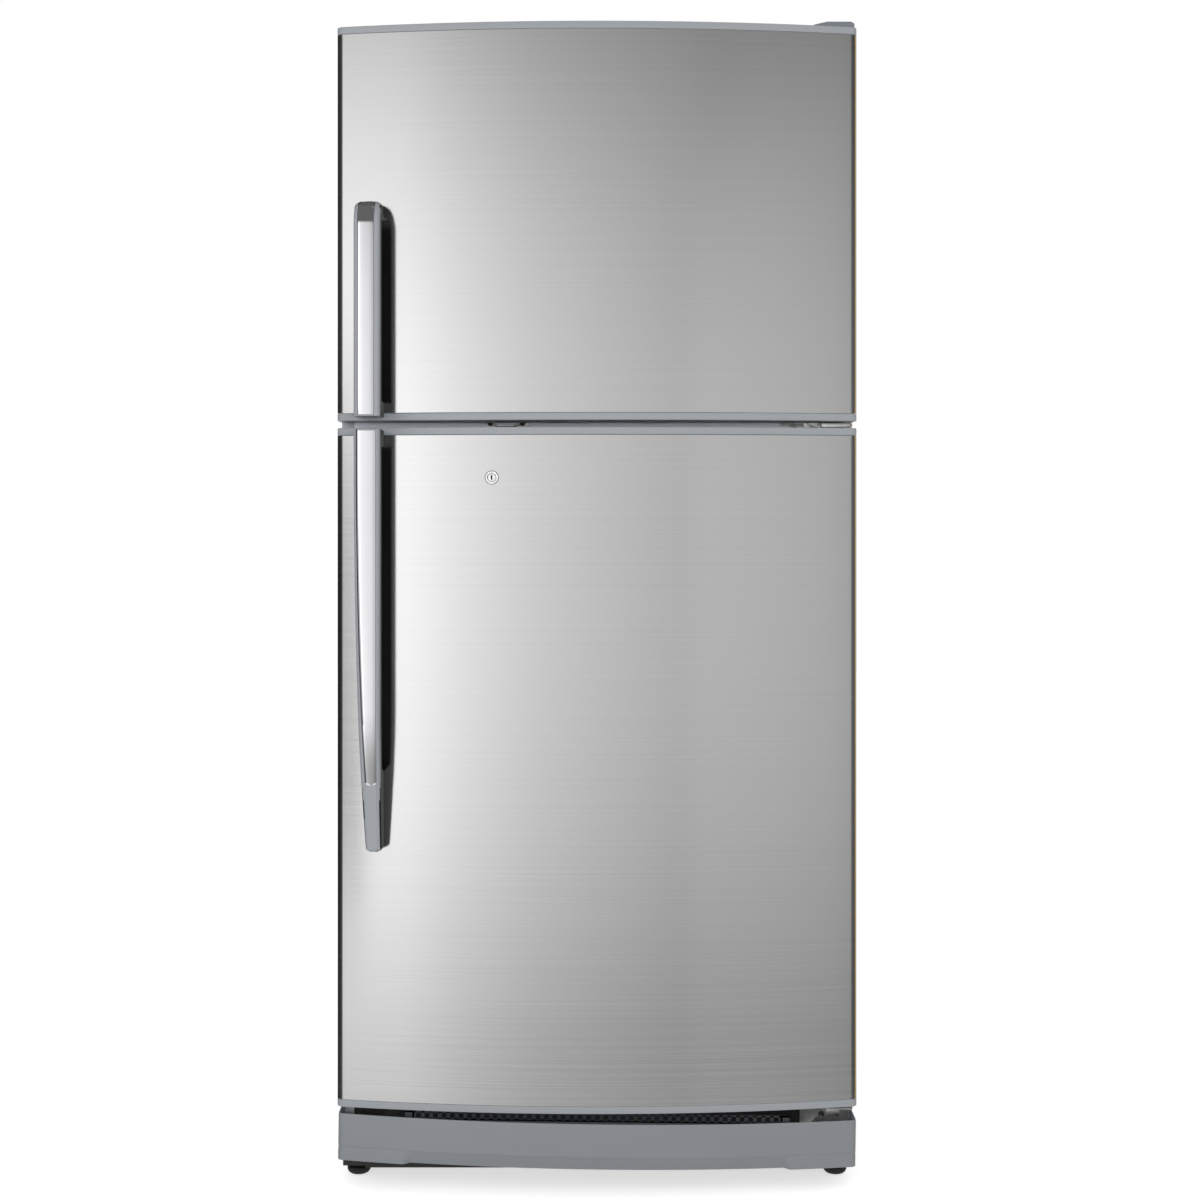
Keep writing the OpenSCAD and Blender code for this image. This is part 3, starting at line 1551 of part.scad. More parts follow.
// Thin slice of the lower handle at one station
module handle_slice(down, x_in, y_in, depth, r) {
    x0 = handle_x0 + edge_in(down) + x_in;
    x1 = handle_x1 - x_in;
    translate([0, bar_y + front_back(down) + y_in, fridge_handle_z1 - down - slice_t]) linear_extrude(slice_t)
        polygon(concat(arc(x0 + r, r, r, 180, 270, 5), arc(x1 - r, r, r, 270, 360, 5),
            [[x1, depth], [x0, depth]]));
}

// Chrome strip of the lower handle, grown by play for its groove
strip_h = fridge_handle_h - 98;
strip_in = [4.3, 6.6];
strip_lean = 1.15;
strip_end_r = 4;
module strip_slices(play, top) {
    crown = [[0, 0.8], [2, 0.2]];
    stops = [top, swell, swell + 0.5 * tail_h, strip_h - strip_end_r];
    end_r = strip_end_r + play;
    for (i = [0:len(stops) - 2]) hull() for (down = [stops[i], stops[i + 1]]) {
        x0 = handle_x0 + strip_in[0] + edge_in(down) * strip_lean - play;
        x1 = handle_x1 - strip_in[1] + play;
        w = x1 - x0;
        translate([x0, bar_y + front_back(down) - strip_proud - play, fridge_handle_z1 - down])
            linear_extrude(slice_t) polygon([crown[0], crown[1], [w / 2, 0], [w - crown[1][0], crown[1][1]],
                [w, crown[0][1]], [w, strip_t - seat + play], [0, strip_t - seat + play]]);
        if (down == stops[3]) for (x = [x0 + end_r, x1 - end_r])
            translate([x, bar_y + front_back(down) + groove - seat + play, fridge_handle_z1 - down])
                rotate([90, 0, 0])
                cylinder(r = end_r, h = strip_t - crown[0][1] - seat + play, $fn = 32);
    }
}

module fridge_handle() {
    root_z = fridge_handle_z1 - swell - 0.35 * tail_h;
    root_y = bar_y + handle_out + 12;
    tip_in = 4;
    color("#a2a7ad") difference() {
        union() {
            for (i = [0:len(stations) - 2]) hull() {
                handle_slice(stations[i], 0, 0, handle_bar, rim_r);
                handle_slice(stations[i + 1], 0, 0, handle_bar, rim_r);
            }
            hull() {
                handle_slice(stations[3], 0, 0, handle_bar, rim_r);
                handle_slice(fridge_handle_h - slice_t, tip_in, tip_in, handle_bar - rim_r - 1, rim_r);
            }
            intersection() {
                translate([handle_x0, 0, 0]) rotate([90, 0, 90]) linear_extrude(handle_w) polygon([
                    [bar_y + handle_bar - 2, root_z], [root_y, root_z + 24], [root_y, fridge_handle_z0 + 4],
                    [bar_y + tail_back + tip_h, fridge_handle_z0 + 1],
                    [bar_y + tail_back + 3, fridge_handle_z0 + tip_h + 2],
                    [bar_y + front_back(swell + 0.5 * tail_h) + 8, root_z - 60]]);
                translate([0, y_pan, 0]) rotate([90, 0, 0]) linear_extrude(y_pan - bar_y) polygon([
                    [handle_x0 + edge_in(swell), fridge_handle_z1 - swell],
                    [handle_x0 + tail_in, fridge_handle_z0 + tip_h],
                    [handle_x0 + tail_in + tip_in, fridge_handle_z0],
                    [handle_x1 - tip_in, fridge_handle_z0], [handle_x1, fridge_handle_z0 + tip_h],
                    [handle_x1, fridge_handle_z1 - swell]]);
            }
            span([handle_x0, bar_y + handle_bar - 1, fridge_handle_z1 - handle_post],
                [handle_x1, y_pan - 1, fridge_handle_z1]);
        }
        strip_slices(seat, -1);
        door_slab(-seat, y_pan, fridge_z0, fridge_z1);
    }
}

module fridge_handle_strip() {
    color("#e8eaec") strip_slices(0, 2);
}

cabinet_shell();
back_panel();
cabinet_foam();
freezer_liner();
fridge_liner();
mullion_cover();
lock_strike();
top_hinge();
top_hinge_cover();
middle_hinge();
bottom_hinge();
hinge_screws();
base_frame();
plinth();
plinth_grille();
foot_left();
foot_right();
roller_left();
roller_right();
compressor();
drip_pan();
machine_cover();
evaporator();
evaporator_cover();
fan_motor();
fan_blade();
freezer_shelf();
ice_stand();
ice_tray();
ice_bin();
control_housing();
control_knob();
light_switch();
lamp_cover();
shelf_frames();
shelf_glass();
crisper_cover();
crisper_left();
crisper_right();
freezer_door_skin();
freezer_top_cap();
freezer_bottom_cap();
freezer_door_foam();
freezer_door_liner();
freezer_seal();
freezer_bins();
freezer_handle();
freezer_handle_strip();
fridge_door_skin();
fridge_top_cap();
fridge_bottom_cap();
fridge_door_foam();
fridge_door_liner();
fridge_seal();
fridge_bins();
fridge_handle();
fridge_handle_strip();
lock_body();
lock_core();
lock_bolt();
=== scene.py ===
import json
import math

import bmesh
import bpy
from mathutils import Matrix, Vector

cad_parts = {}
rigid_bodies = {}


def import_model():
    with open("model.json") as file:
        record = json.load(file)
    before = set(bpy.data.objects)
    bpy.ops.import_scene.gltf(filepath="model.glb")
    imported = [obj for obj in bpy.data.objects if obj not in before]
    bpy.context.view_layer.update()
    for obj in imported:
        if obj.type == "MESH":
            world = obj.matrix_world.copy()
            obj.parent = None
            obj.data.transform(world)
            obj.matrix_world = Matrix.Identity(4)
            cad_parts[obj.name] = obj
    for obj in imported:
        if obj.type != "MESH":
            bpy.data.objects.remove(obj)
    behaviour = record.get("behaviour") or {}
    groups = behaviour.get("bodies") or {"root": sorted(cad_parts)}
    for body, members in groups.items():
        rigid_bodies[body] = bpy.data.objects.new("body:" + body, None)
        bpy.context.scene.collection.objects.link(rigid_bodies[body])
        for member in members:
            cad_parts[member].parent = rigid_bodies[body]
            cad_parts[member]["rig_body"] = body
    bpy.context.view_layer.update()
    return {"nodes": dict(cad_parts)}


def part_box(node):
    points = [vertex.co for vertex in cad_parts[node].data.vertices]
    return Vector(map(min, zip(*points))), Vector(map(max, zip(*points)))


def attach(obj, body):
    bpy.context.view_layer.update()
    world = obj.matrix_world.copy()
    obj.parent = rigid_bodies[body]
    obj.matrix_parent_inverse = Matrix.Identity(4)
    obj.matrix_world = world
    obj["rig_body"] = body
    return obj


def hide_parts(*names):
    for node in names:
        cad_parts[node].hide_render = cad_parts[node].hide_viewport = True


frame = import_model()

# Two-door refrigerator: metres, +Z up, doors towards -Y, hinges on the +X side.
# The sizes below repeat those of the part's source.
nodes = frame["nodes"]

HALF_W = 0.380
BOW = 0.044
CORNER = 0.010
BOW_R = ((HALF_W - CORNER) ** 2 + BOW ** 2 - CORNER ** 2) / (2 * (BOW - CORNER))
LEAN = math.asin((HALF_W - CORNER) / (BOW_R - CORNER))
Y_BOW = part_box("fridge_door_skin")[0].y
Y_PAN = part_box("fridge_top_cap")[1].y
CAP_H = 0.011
HANDLE_X0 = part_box("freezer_handle")[0].x
HANDLE_X1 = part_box("freezer_handle")[1].x
HANDLE_W = HANDLE_X1 - HANDLE_X0
BAR_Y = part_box("freezer_handle")[0].y
BAR_D = 0.021
STRIP_W = 0.023
PROUD = 0.0007
LOCK = Vector((-0.152, 0, (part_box("lock_body")[0].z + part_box("lock_body")[1].z) / 2))


def bow_y(x):
    """Front of a door at a distance from its middle."""
    return Y_BOW + BOW_R - math.sqrt(BOW_R ** 2 - x ** 2)


# Node trees

class Wire:
    """A socket in a node tree. Maths on it adds the nodes."""

    def __init__(self, tree, socket):
        self.tree = tree
        self.socket = socket

    def maths(self, operation, *terms):
        return self.tree.add("ShaderNodeMath", {"operation": operation}, dict(enumerate(terms)))[0]

    def __add__(self, other):
        return self.maths("ADD", self, other)

    def __radd__(self, other):
        return self.maths("ADD", other, self)

    def __sub__(self, other):
        return self.maths("SUBTRACT", self, other)

    def __rsub__(self, other):
        return self.maths("SUBTRACT", other, self)

    def __mul__(self, other):
        return self.maths("MULTIPLY", self, other)

    def __rmul__(self, other):
        return self.maths("MULTIPLY", other, self)

    def __truediv__(self, other):
        return self.maths("DIVIDE", self, other)

    def __rtruediv__(self, other):
        return self.maths("DIVIDE", other, self)

    def __gt__(self, other):
        return self.maths("GREATER_THAN", self, other)

    def __lt__(self, other):
        return self.maths("LESS_THAN", self, other)

    def __abs__(self):
        return self.maths("ABSOLUTE", self)

    def cut(self, low, high):
        """The value held between low and high."""
        return self.maths("MAXIMUM", self.maths("MINIMUM", self, high), low)


class Tree:
    """A node tree in making, for a finish, a light or a rule that grows a shape."""

    def __init__(self, tree):
        self.tree = tree

    def add(self, kind, settings=None, values=None):
        """One node: its settings first, then the values or wires of its sockets."""
        node = self.tree.nodes.new(kind)
        for name, value in (settings or {}).items():
            if name == "stops":
                self.stops(node.color_ramp, value)
            else:
                setattr(node, name, value)
        for name, value in (values or {}).items():
            for one in value if isinstance(value, list) else [value]:
                self.lead(one, node.inputs[name])
        return [Wire(self, s) for s in node.outputs]

    def lead(self, value, socket):
        """Leads a wire to a socket, or sets its constant."""
        if isinstance(value, Wire):
            self.tree.links.new(value.socket, socket)
        else:
            socket.default_value = value

    def parts(self, vector):
        return self.add("ShaderNodeSeparateXYZ", {}, {0: vector})

    def point(self, x, y, z):
        return self.add("ShaderNodeCombineXYZ", {}, {0: x, 1: y, 2: z})[0]

    def shaders(self, share, a, b):
        """The shader a, or b where share is 1."""
        return self.add("ShaderNodeMixShader", {}, {0: share, 1: a, 2: b})[0]

    def ramp(self, share, stops):
        """A level that runs over the given positions and values."""
        peak = max(level for _, level in stops)
        scaled = [(at, level / peak) for at, level in stops]
        return self.parts(self.add("ShaderNodeValToRGB", {"stops": scaled}, {0: share})[0])[0] * peak

    def rays(self, *kinds):
        """1 where the light path is of one of the kinds named."""
        path = {wire.socket.name: wire for wire in self.add("ShaderNodeLightPath")}
        share = path[kinds[0]]
        for kind in kinds[1:]:
            share = share.maths("MAXIMUM", share, path[kind])
        return share

    def stops(self, ramp, stops):
        """Positions and grey levels of a ramp."""
        while len(ramp.elements) < len(stops):
            ramp.elements.new(0.5)
        for element, (at, level) in zip(ramp.elements, stops):
            element.position = at
            element.color = (level, level, level, 1)


class Finish(Tree):
    """A material, made in the maker's terms."""

    def __init__(self, name, **constants):
        self.material = bpy.data.materials.new(name)
        self.material.use_nodes = True
        super().__init__(self.material.node_tree)
        self.tree.nodes.clear()
        self.place = self.add("ShaderNodeTexCoord")[3]
        self.shader = self.add("ShaderNodeBsdfPrincipled", {}, constants)[0]
        self.add("ShaderNodeOutputMaterial", {}, {"Surface": self.shader})

    def noise(self, scale, detail=2.0, rough=0.5):
        """Noise around 0.5; scale, in waves a metre, is one number or one for each axis."""
        scale = scale if isinstance(scale, tuple) else (scale,) * 3
        place = self.add("ShaderNodeMapping", {}, {"Vector": self.place, "Scale": scale})[0]
        return self.add("ShaderNodeTexNoise", {},
                        {"Vector": place, "Scale": 1.0, "Detail": detail, "Roughness": rough})[0]

    def crystals(self, scale, output):
        """A level for each cell of a cell pattern, from its distance (0) or its colour (1)."""
        cell = self.add("ShaderNodeTexVoronoi", {}, {"Vector": self.place, "Scale": scale})[output]
        return self.parts(cell)[0]

    def blend(self, share, a, b):
        """Colour between a and b."""
        return self.add("ShaderNodeMix", {"data_type": "RGBA"}, {0: share, 6: a, 7: b})[2]

    def sets(self, name, value):
        self.lead(value, self.shader.socket.node.inputs[name])

    def relief(self, height, depth, strength=1.0, round_r=0.0):
        """Bump of a given depth in metres, over edges that look rounded by round_r."""
        values = {"Height": height, "Distance": depth, "Strength": strength}
        if round_r:
            values["Normal"] = self.add("ShaderNodeBevel", {"samples": 4}, {"Radius": round_r})[0]
        self.sets("Normal", self.add("ShaderNodeBump", {}, values)[0])


def tone(level, warm=0.0, blue=0.0):
    """A grey of that linear level, a little warm or blue."""
    return (level * (1 + warm), level, level * (1 + blue - warm), 1)


def shade(colour, share):
    """The colour made darker or lighter."""
    return tuple(min(1, c * share) for c in colour[:3]) + (1,)


def srgb(r, g, b):
    """Linear colour of a screen colour."""
    def lin(v):
        v /= 255
        return v / 12.92 if v <= 0.04045 else ((v + 0.055) / 1.055) ** 2.4
    return (lin(r), lin(g), lin(b), 1)


# Finishes

def brushed_sheet(name, level=0.74):
    """Stainless sheet brushed sideways: long fine lines, slow waves in the sheet, faint smears."""
    f = Finish(name, Metallic=1.0, Anisotropic=0.6, **{"Anisotropic Rotation": 0.25})
    fine = f.noise((2.2, 2.2, 2600), 2, 0.7)
    broad = f.noise((0.9, 0.9, 430), 2, 0.75)
    smear = f.noise((1.6, 1.6, 2.6), 2, 0.5)
    wave = f.noise((1.3, 1.3, 0.9), 1, 0.4)
    lines = fine * 0.35 + broad * 0.65
    f.sets("Base Color", f.blend((lines - 0.5) * 1.5 + 0.5, tone(level * 0.93, 0.004), tone(level * 1.05)))
    f.sets("Roughness", (lines - 0.5) * 0.12 + (smear - 0.5) * 0.06 + 0.15)
    f.relief(lines * 0.02 + wave, 0.0009, 0.5)
    return f.material


def satin_moulding(name, colour, rough, grain=900):
    """Moulded plastic with a fine even grain and faint flow marks."""
    f = Finish(name)
    fine = f.noise(grain, 3, 0.6)
    flow = f.noise((6, 6, 14), 2, 0.5)
    f.sets("Base Color", f.blend((fine - 0.5) * 0.5 + (flow - 0.5) * 0.8 + 0.5, shade(colour, 0.94),
                                 shade(colour, 1.05)))
    f.sets("Roughness", (fine - 0.5) * 0.16 + (flow - 0.5) * 0.1 + rough)
    f.relief(fine, 0.00003, 0.6, 0.0008)
    return f.material


def enamel(name, colour, rough=0.36):
    """Baked paint on steel: slight orange peel, a few duller patches."""
    f = Finish(name, **{"Coat Roughness": 0.18})
    peel = f.noise(240, 2, 0.4)
    dull = f.noise((3, 3, 3), 4, 0.6)
    f.sets("Base Color", f.blend((dull - 0.5) * 0.9 + 0.5, shade(colour, 0.96), colour))
    f.sets("Roughness", (dull - 0.5) * 0.14 + (peel - 0.5) * 0.05 + rough)
    f.sets("Coat Weight", (dull - 0.4).cut(0.0, 0.35))
    f.relief(peel, 0.00005, 0.5, 0.0012)
    return f.material


def lacquer(name, colour):
    """Silver lacquer with metal flakes under a thin clear coat."""
    f = Finish(name, **{"Coat Weight": 0.12, "Coat Roughness": 0.2})
    spark = f.crystals(2600.0, 0)
    cloud = f.noise((14, 14, 6), 2, 0.5)
    f.sets("Base Color", f.blend((spark - 0.5) * 0.7 + (cloud - 0.5) * 0.4 + 0.5, shade(colour, 0.9),
                                 shade(colour, 1.1)))
    f.sets("Metallic", spark * 0.12 + 0.1)
    f.sets("Roughness", (spark - 0.5) * 0.12 + 0.42)
    f.relief(cloud, 0.00005, 0.3)
    return f.material


def plated(name, level, rough, metal=1.0):
    """Bright plating: almost even, with hairline marks and a breath of haze."""
    f = Finish(name, Metallic=metal)
    haze = f.noise((30, 30, 12), 3, 0.6)
    hair = f.noise((900, 900, 20), 2, 0.7)
    f.sets("Base Color", f.blend(haze, tone(level * 0.95, 0.0, 0.02), tone(min(level * 1.05, 1), 0.0, 0.02)))
    f.sets("Roughness", (haze - 0.5) * 0.05 + ((hair - 0.62) * 0.5).cut(0.0, 0.1) + rough)
    f.relief(haze, 0.00006, 0.25, 0.0004)
    return f.material


def zinc(name, level=0.45):
    """Galvanised sheet with its broad crystal pattern."""
    f = Finish(name, Metallic=0.35)
    pale = f.crystals(70.0, 1)
    dust = f.noise(9, 4, 0.6)
    f.sets("Base Color", f.blend(pale * 0.6 + dust * 0.4, tone(level * 0.82, 0, 0.02), tone(level * 1.12)))
    f.sets("Roughness", pale * 0.12 + dust * 0.12 + 0.34)
    f.relief(pale, 0.00004, 0.4, 0.0008)
    return f.material


def worn_steel(name, level, rough=0.38):
    """Grey plated steel of hinges: rolled grain and rubbed spots."""
    f = Finish(name, Metallic=0.85)
    grain = f.noise((60, 900, 900), 3, 0.6)
    rub = f.noise(55, 4, 0.6)
    f.sets("Base Color", f.blend(rub, tone(level * 0.75, 0, 0.03), tone(level * 1.25)))
    f.sets("Roughness", (grain - 0.5) * 0.2 + (rub - 0.5) * 0.16 + rough)
    f.relief(grain, 0.00004, 0.5, 0.0006)
    return f.material


def frame_paint(name, level=0.012):
    """Black paint on the base, with patches of dust."""
    f = Finish(name)
    peel = f.noise(180, 3, 0.5)
    dust = f.noise(22, 5, 0.65)
    f.sets("Base Color", f.blend(((dust - 0.52) * 3.0).cut(0.0, 0.5), tone(level), tone(level * 5, 0.02)))
    f.sets("Roughness", (peel - 0.5) * 0.15 + dust * 0.25 + 0.32)
    f.relief(peel, 0.0001, 0.5, 0.001)
    return f.material


def foot_rubber(name, level=0.016):
    """Black rubber: matt, scuffed near the floor."""
    f = Finish(name, **{"Specular IOR Level": 0.35})
    speck = f.noise(420, 3, 0.6)
    scuff = f.noise(60, 5, 0.7)
    f.sets("Base Color", f.blend(((scuff - 0.5) * 2.4).cut(0.0, 0.6), tone(level), tone(level * 4, 0.03)))
    f.sets("Roughness", (speck - 0.5) * 0.2 + 0.68)
    f.relief(speck, 0.00015, 0.6, 0.0008)
    return f.material


def vinyl_seal(name, colour):
    """Soft magnetic seal: fine lengthwise lines and a waxy surface."""
    f = Finish(name, **{"Subsurface Weight": 0.08, "Subsurface Scale": 0.004})
    lines = f.noise((700, 700, 700), 2, 0.5)
    grime = f.noise(12, 4, 0.6)
    f.sets("Base Color", f.blend(grime, shade(colour, 0.8), colour))
    f.sets("Roughness", (lines - 0.5) * 0.15 + 0.5)
    f.relief(lines, 0.00006, 0.5, 0.002)
    return f.material


def liner_sheet(name, colour):
    """Vacuum formed liner: glossy, with faint thinning and fine pimples."""
    f = Finish(name, **{"Subsurface Weight": 0.05, "Subsurface Scale": 0.01, "Coat Weight": 0.15,
                        "Coat Roughness": 0.2})
    thin = f.noise(7, 3, 0.5)
    pimple = f.noise(700, 2, 0.5)
    f.sets("Base Color", f.blend(thin, shade(colour, 0.94), colour))
    f.sets("Roughness", (pimple - 0.5) * 0.1 + (thin - 0.5) * 0.1 + 0.3)
    f.relief(pimple, 0.00003, 0.5, 0.0015)
    return f.material


def foam_fill(name):
    """Poured foam: cells, knit lines and skin."""
    f = Finish(name)
    knit = f.noise(18, 4, 0.6)
    f.sets("Base Color", f.blend(knit, (0.62, 0.50, 0.24, 1), (0.83, 0.73, 0.44, 1)))
    f.sets("Roughness", (knit - 0.5) * 0.1 + 0.82)
    f.relief(f.crystals(900.0, 0), 0.0004, 0.6)
    return f.material


def clear_moulding(name, colour, rough=0.08, alpha=0.34):
    """Clear plastic that shows its walls: flow lines, hair scratches, denser at grazing angles."""
    f = Finish(name, IOR=1.49)
    flow = f.noise((18, 18, 7), 3, 0.5)
    hair = f.noise((1500, 60, 1500), 2, 0.7)
    rim = f.add("ShaderNodeLayerWeight", {}, {"Blend": 0.35})[1]
    f.sets("Base Color", f.blend(flow, shade(colour, 0.93), colour))
    f.sets("Roughness", (flow - 0.5) * 0.08 + ((hair - 0.6) * 0.4).cut(0.0, 0.1) + rough)
    f.sets("Alpha", (rim * 0.45 + (flow - 0.5) * 0.08 + alpha).cut(0.0, 1.0))
    f.relief(flow, 0.0003, 0.3, 0.0008)
    return f.material


def shelf_pane(name):
    """Toughened glass: faint green, slightly wavy, with a few smears."""
    f = Finish(name, IOR=1.52)
    wave = f.noise((5, 9, 5), 2, 0.4)
    smear = f.noise((11, 26, 11), 4, 0.7)
    rim = f.add("ShaderNodeLayerWeight", {}, {"Blend": 0.3})[1]
    f.sets("Base Color", f.blend(wave, (0.70, 0.86, 0.82, 1), (0.80, 0.93, 0.90, 1)))
    f.sets("Roughness", ((smear - 0.5) * 0.3).cut(0.0, 0.12) + 0.03)
    f.sets("Alpha", (rim * 0.5 + (smear - 0.5) * 0.06 + 0.3).cut(0.0, 1.0))
    f.relief(wave, 0.0004, 0.2)
    return f.material


def fin_stock(name):
    """Bare aluminium of the coil, brushed by rolling, with pale bloom."""
    f = Finish(name, Metallic=0.9)
    rolled = f.noise((600, 40, 600), 3, 0.6)
    bloom = f.noise(26, 5, 0.6)
    f.sets("Base Color", f.blend(bloom, tone(0.62), tone(0.84, 0, 0.01)))
    f.sets("Roughness", (rolled - 0.5) * 0.2 + bloom * 0.2 + 0.24)
    f.relief(rolled, 0.00004, 0.5)
    return f.material


DOOR_STEEL = brushed_sheet("door_steel_brushed_sideways")
CAP_GREY = satin_moulding("cap_moulding_satin_grey", srgb(152, 156, 160), 0.34)
PLINTH_GREY = satin_moulding("plinth_moulding_satin_grey", srgb(133, 137, 141), 0.38)
COVER_GREY = satin_moulding("hinge_cover_moulding_grey", srgb(123, 128, 135), 0.36)
# Painted shade: the grille's dark grey stands in for the shade under the door above it.
GRILLE_SHADE_GREY = satin_moulding("grille_moulding_dark", srgb(58, 60, 64), 0.5)
# Painted shade: near-black for the keyway, the gap round the plug and the shadow line at the ring's outer edge.
KEYWAY_SHADE = satin_moulding("keyway_dark", srgb(22, 22, 24), 0.6)
FAN_DARK = satin_moulding("fan_moulding_dark", srgb(46, 48, 52), 0.45)
PAN_DARK = satin_moulding("pan_moulding_dark", srgb(70, 72, 76), 0.5)
CABINET_PAINT = enamel("cabinet_enamel_silver_grey", srgb(172, 176, 181))
# Painted light: the mullion's enamel is paler than its paint to stand in for light that hardly reaches the gap
# between the doors.
MULLION_PAINT_LIGHTENED = enamel("mullion_enamel_pale_grey", (0.78, 0.82, 0.88, 1), 0.3)
HANDLE_LACQUER = lacquer("handle_lacquer_silver", srgb(160, 163, 168))
HANDLE_CHROME = plated("handle_insert_chrome", 0.9, 0.05)
# Painted shade: black on the bar's back and rear sides stands in for the shade and dark reflection there.
HANDLE_BACK_SHADE = satin_moulding("handle_back_black", srgb(24, 25, 27), 0.4)
# Partly plating, partly painted reflection: a near-white diffuse share stands in for the bright reflection of
# chrome.
LOCK_CHROME_PAINTED_SHINE = plated("lock_chrome", 0.94, 0.3, metal=0.35)
HINGE_STEEL = worn_steel("hinge_steel_plated", 0.5)
HINGE_BRIGHT = worn_steel("middle_hinge_steel_bright", 0.82, 0.3)
SCREW_STEEL = worn_steel("screw_steel_blackened", 0.12, 0.32)
REAR_ZINC = zinc("rear_sheet_galvanised")
BASE_PAINT = frame_paint("base_paint_black")
SHELL_PAINT = frame_paint("compressor_paint_black", 0.02)
FOOT_RUBBER = foot_rubber("foot_rubber_black")
SEAL_VINYL = vinyl_seal("door_seal_grey", srgb(196, 198, 200))
LINER_WHITE = liner_sheet("liner_white", srgb(238, 240, 240))
PART_WHITE = satin_moulding("inner_moulding_white", srgb(232, 235, 236), 0.32, 600)
FOAM = foam_fill("foam_poured")
BIN_CLEAR = clear_moulding("bin_moulding_clear", srgb(214, 228, 236))
DRAWER_CLEAR = clear_moulding("drawer_moulding_clear", srgb(206, 222, 232), 0.12, 0.42)
SHELF_PANE = shelf_pane("shelf_glass_pane")
COIL_ALUMINIUM = fin_stock("coil_aluminium")


# Making pieces

def shown(name, data):
    """A new object at the origin."""
    obj = bpy.data.objects.new(name, data)
    bpy.context.scene.collection.objects.link(obj)
    return obj


def finished(mesh, finish):
    mesh.materials.clear()
    mesh.materials.append(finish)


def piece(name, mesh, finish, body, node):
    """A finished piece that moves with a body and stands for a CAD node."""
    obj = shown(name, mesh)
    finished(mesh, finish)
    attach(obj, body)
    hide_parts(node)
    return obj


def painted(obj, finish, chosen):
    """A second finish on the faces chosen."""
    obj.data.materials.append(finish)
    for face in obj.data.polygons:
        if chosen(face):
            face.material_index = 1


def plain_mesh(name, bm):
    mesh = bpy.data.meshes.new(name)
    bm.to_mesh(mesh)
    bm.free()
    return mesh


def smoothed(mesh, sharp):
    """Round faces smooth, real edges sharp."""
    mesh.shade_smooth()
    mesh.set_sharp_from_angle(angle=math.radians(sharp))
    return mesh


def closed_mesh(name, bm, sharp=32.0, outward=True):
    """Plain mesh of a bmesh, its doubles merged and its normals outwards."""
    bmesh.ops.remove_doubles(bm, verts=bm.verts, dist=1e-6)
    bmesh.ops.dissolve_degenerate(bm, edges=bm.edges, dist=1e-7)
    if outward:
        bmesh.ops.recalc_face_normals(bm, faces=bm.faces)
    return smoothed(plain_mesh(name, bm), sharp)


def merged(mesh):
    """A mesh's faces, joined where their corners meet."""
    bm = bmesh.new()
    bm.from_mesh(mesh)
    bmesh.ops.remove_doubles(bm, verts=bm.verts, dist=2e-6)
    return bm


def skin_over(rings, solid=True):
    """Faces between one ring of points and the next; a solid's rings are closed and its ends too."""
    bm = bmesh.new()
    rows = [[bm.verts.new(p) for p in ring] for ring in rings]
    for low, high in zip(rows, rows[1:]):
        n = len(low)
        for i in range(n if solid else n - 1):
            j = (i + 1) % n
            bm.faces.new((low[i], low[j], high[j], high[i]))
    if solid:
        bm.faces.new(rows[0][::-1])
        bm.faces.new(rows[-1])
    return bm


def evaluated(obj):
    """The mesh of an object with its modifiers applied; the object itself goes."""
    graph = bpy.context.evaluated_depsgraph_get()
    graph.update()
    mesh = bpy.data.meshes.new_from_object(obj.evaluated_get(graph))
    bpy.data.objects.remove(obj)
    return mesh


def eased(node, finish, edge, shaped=None):
    """A merged copy of a CAD solid whose edges are eased and whose round faces are smooth; shaped
    gives it its finer form first."""
    source = nodes[node]
    bm = merged(source.data)
    bmesh.ops.dissolve_limit(bm, angle_limit=math.radians(0.4), verts=bm.verts, edges=bm.edges)
    if shaped:
        shaped(bm)
    mesh = plain_mesh(node, bm)
    name = node + "_finished"
    if edge:
        obj = shown(name + "_raw", mesh)
        ease = obj.modifiers.new("ease", "BEVEL")
        ease.width = edge
        ease.segments = 2
        ease.limit_method = "ANGLE"
        ease.angle_limit = math.radians(40)
        ease.use_clamp_overlap = True
        mesh = evaluated(obj)
        mesh.name = name
    piece(name, smoothed(mesh, 32.0), finish, source["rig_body"], node)


# Rules that grow a shape from named sizes

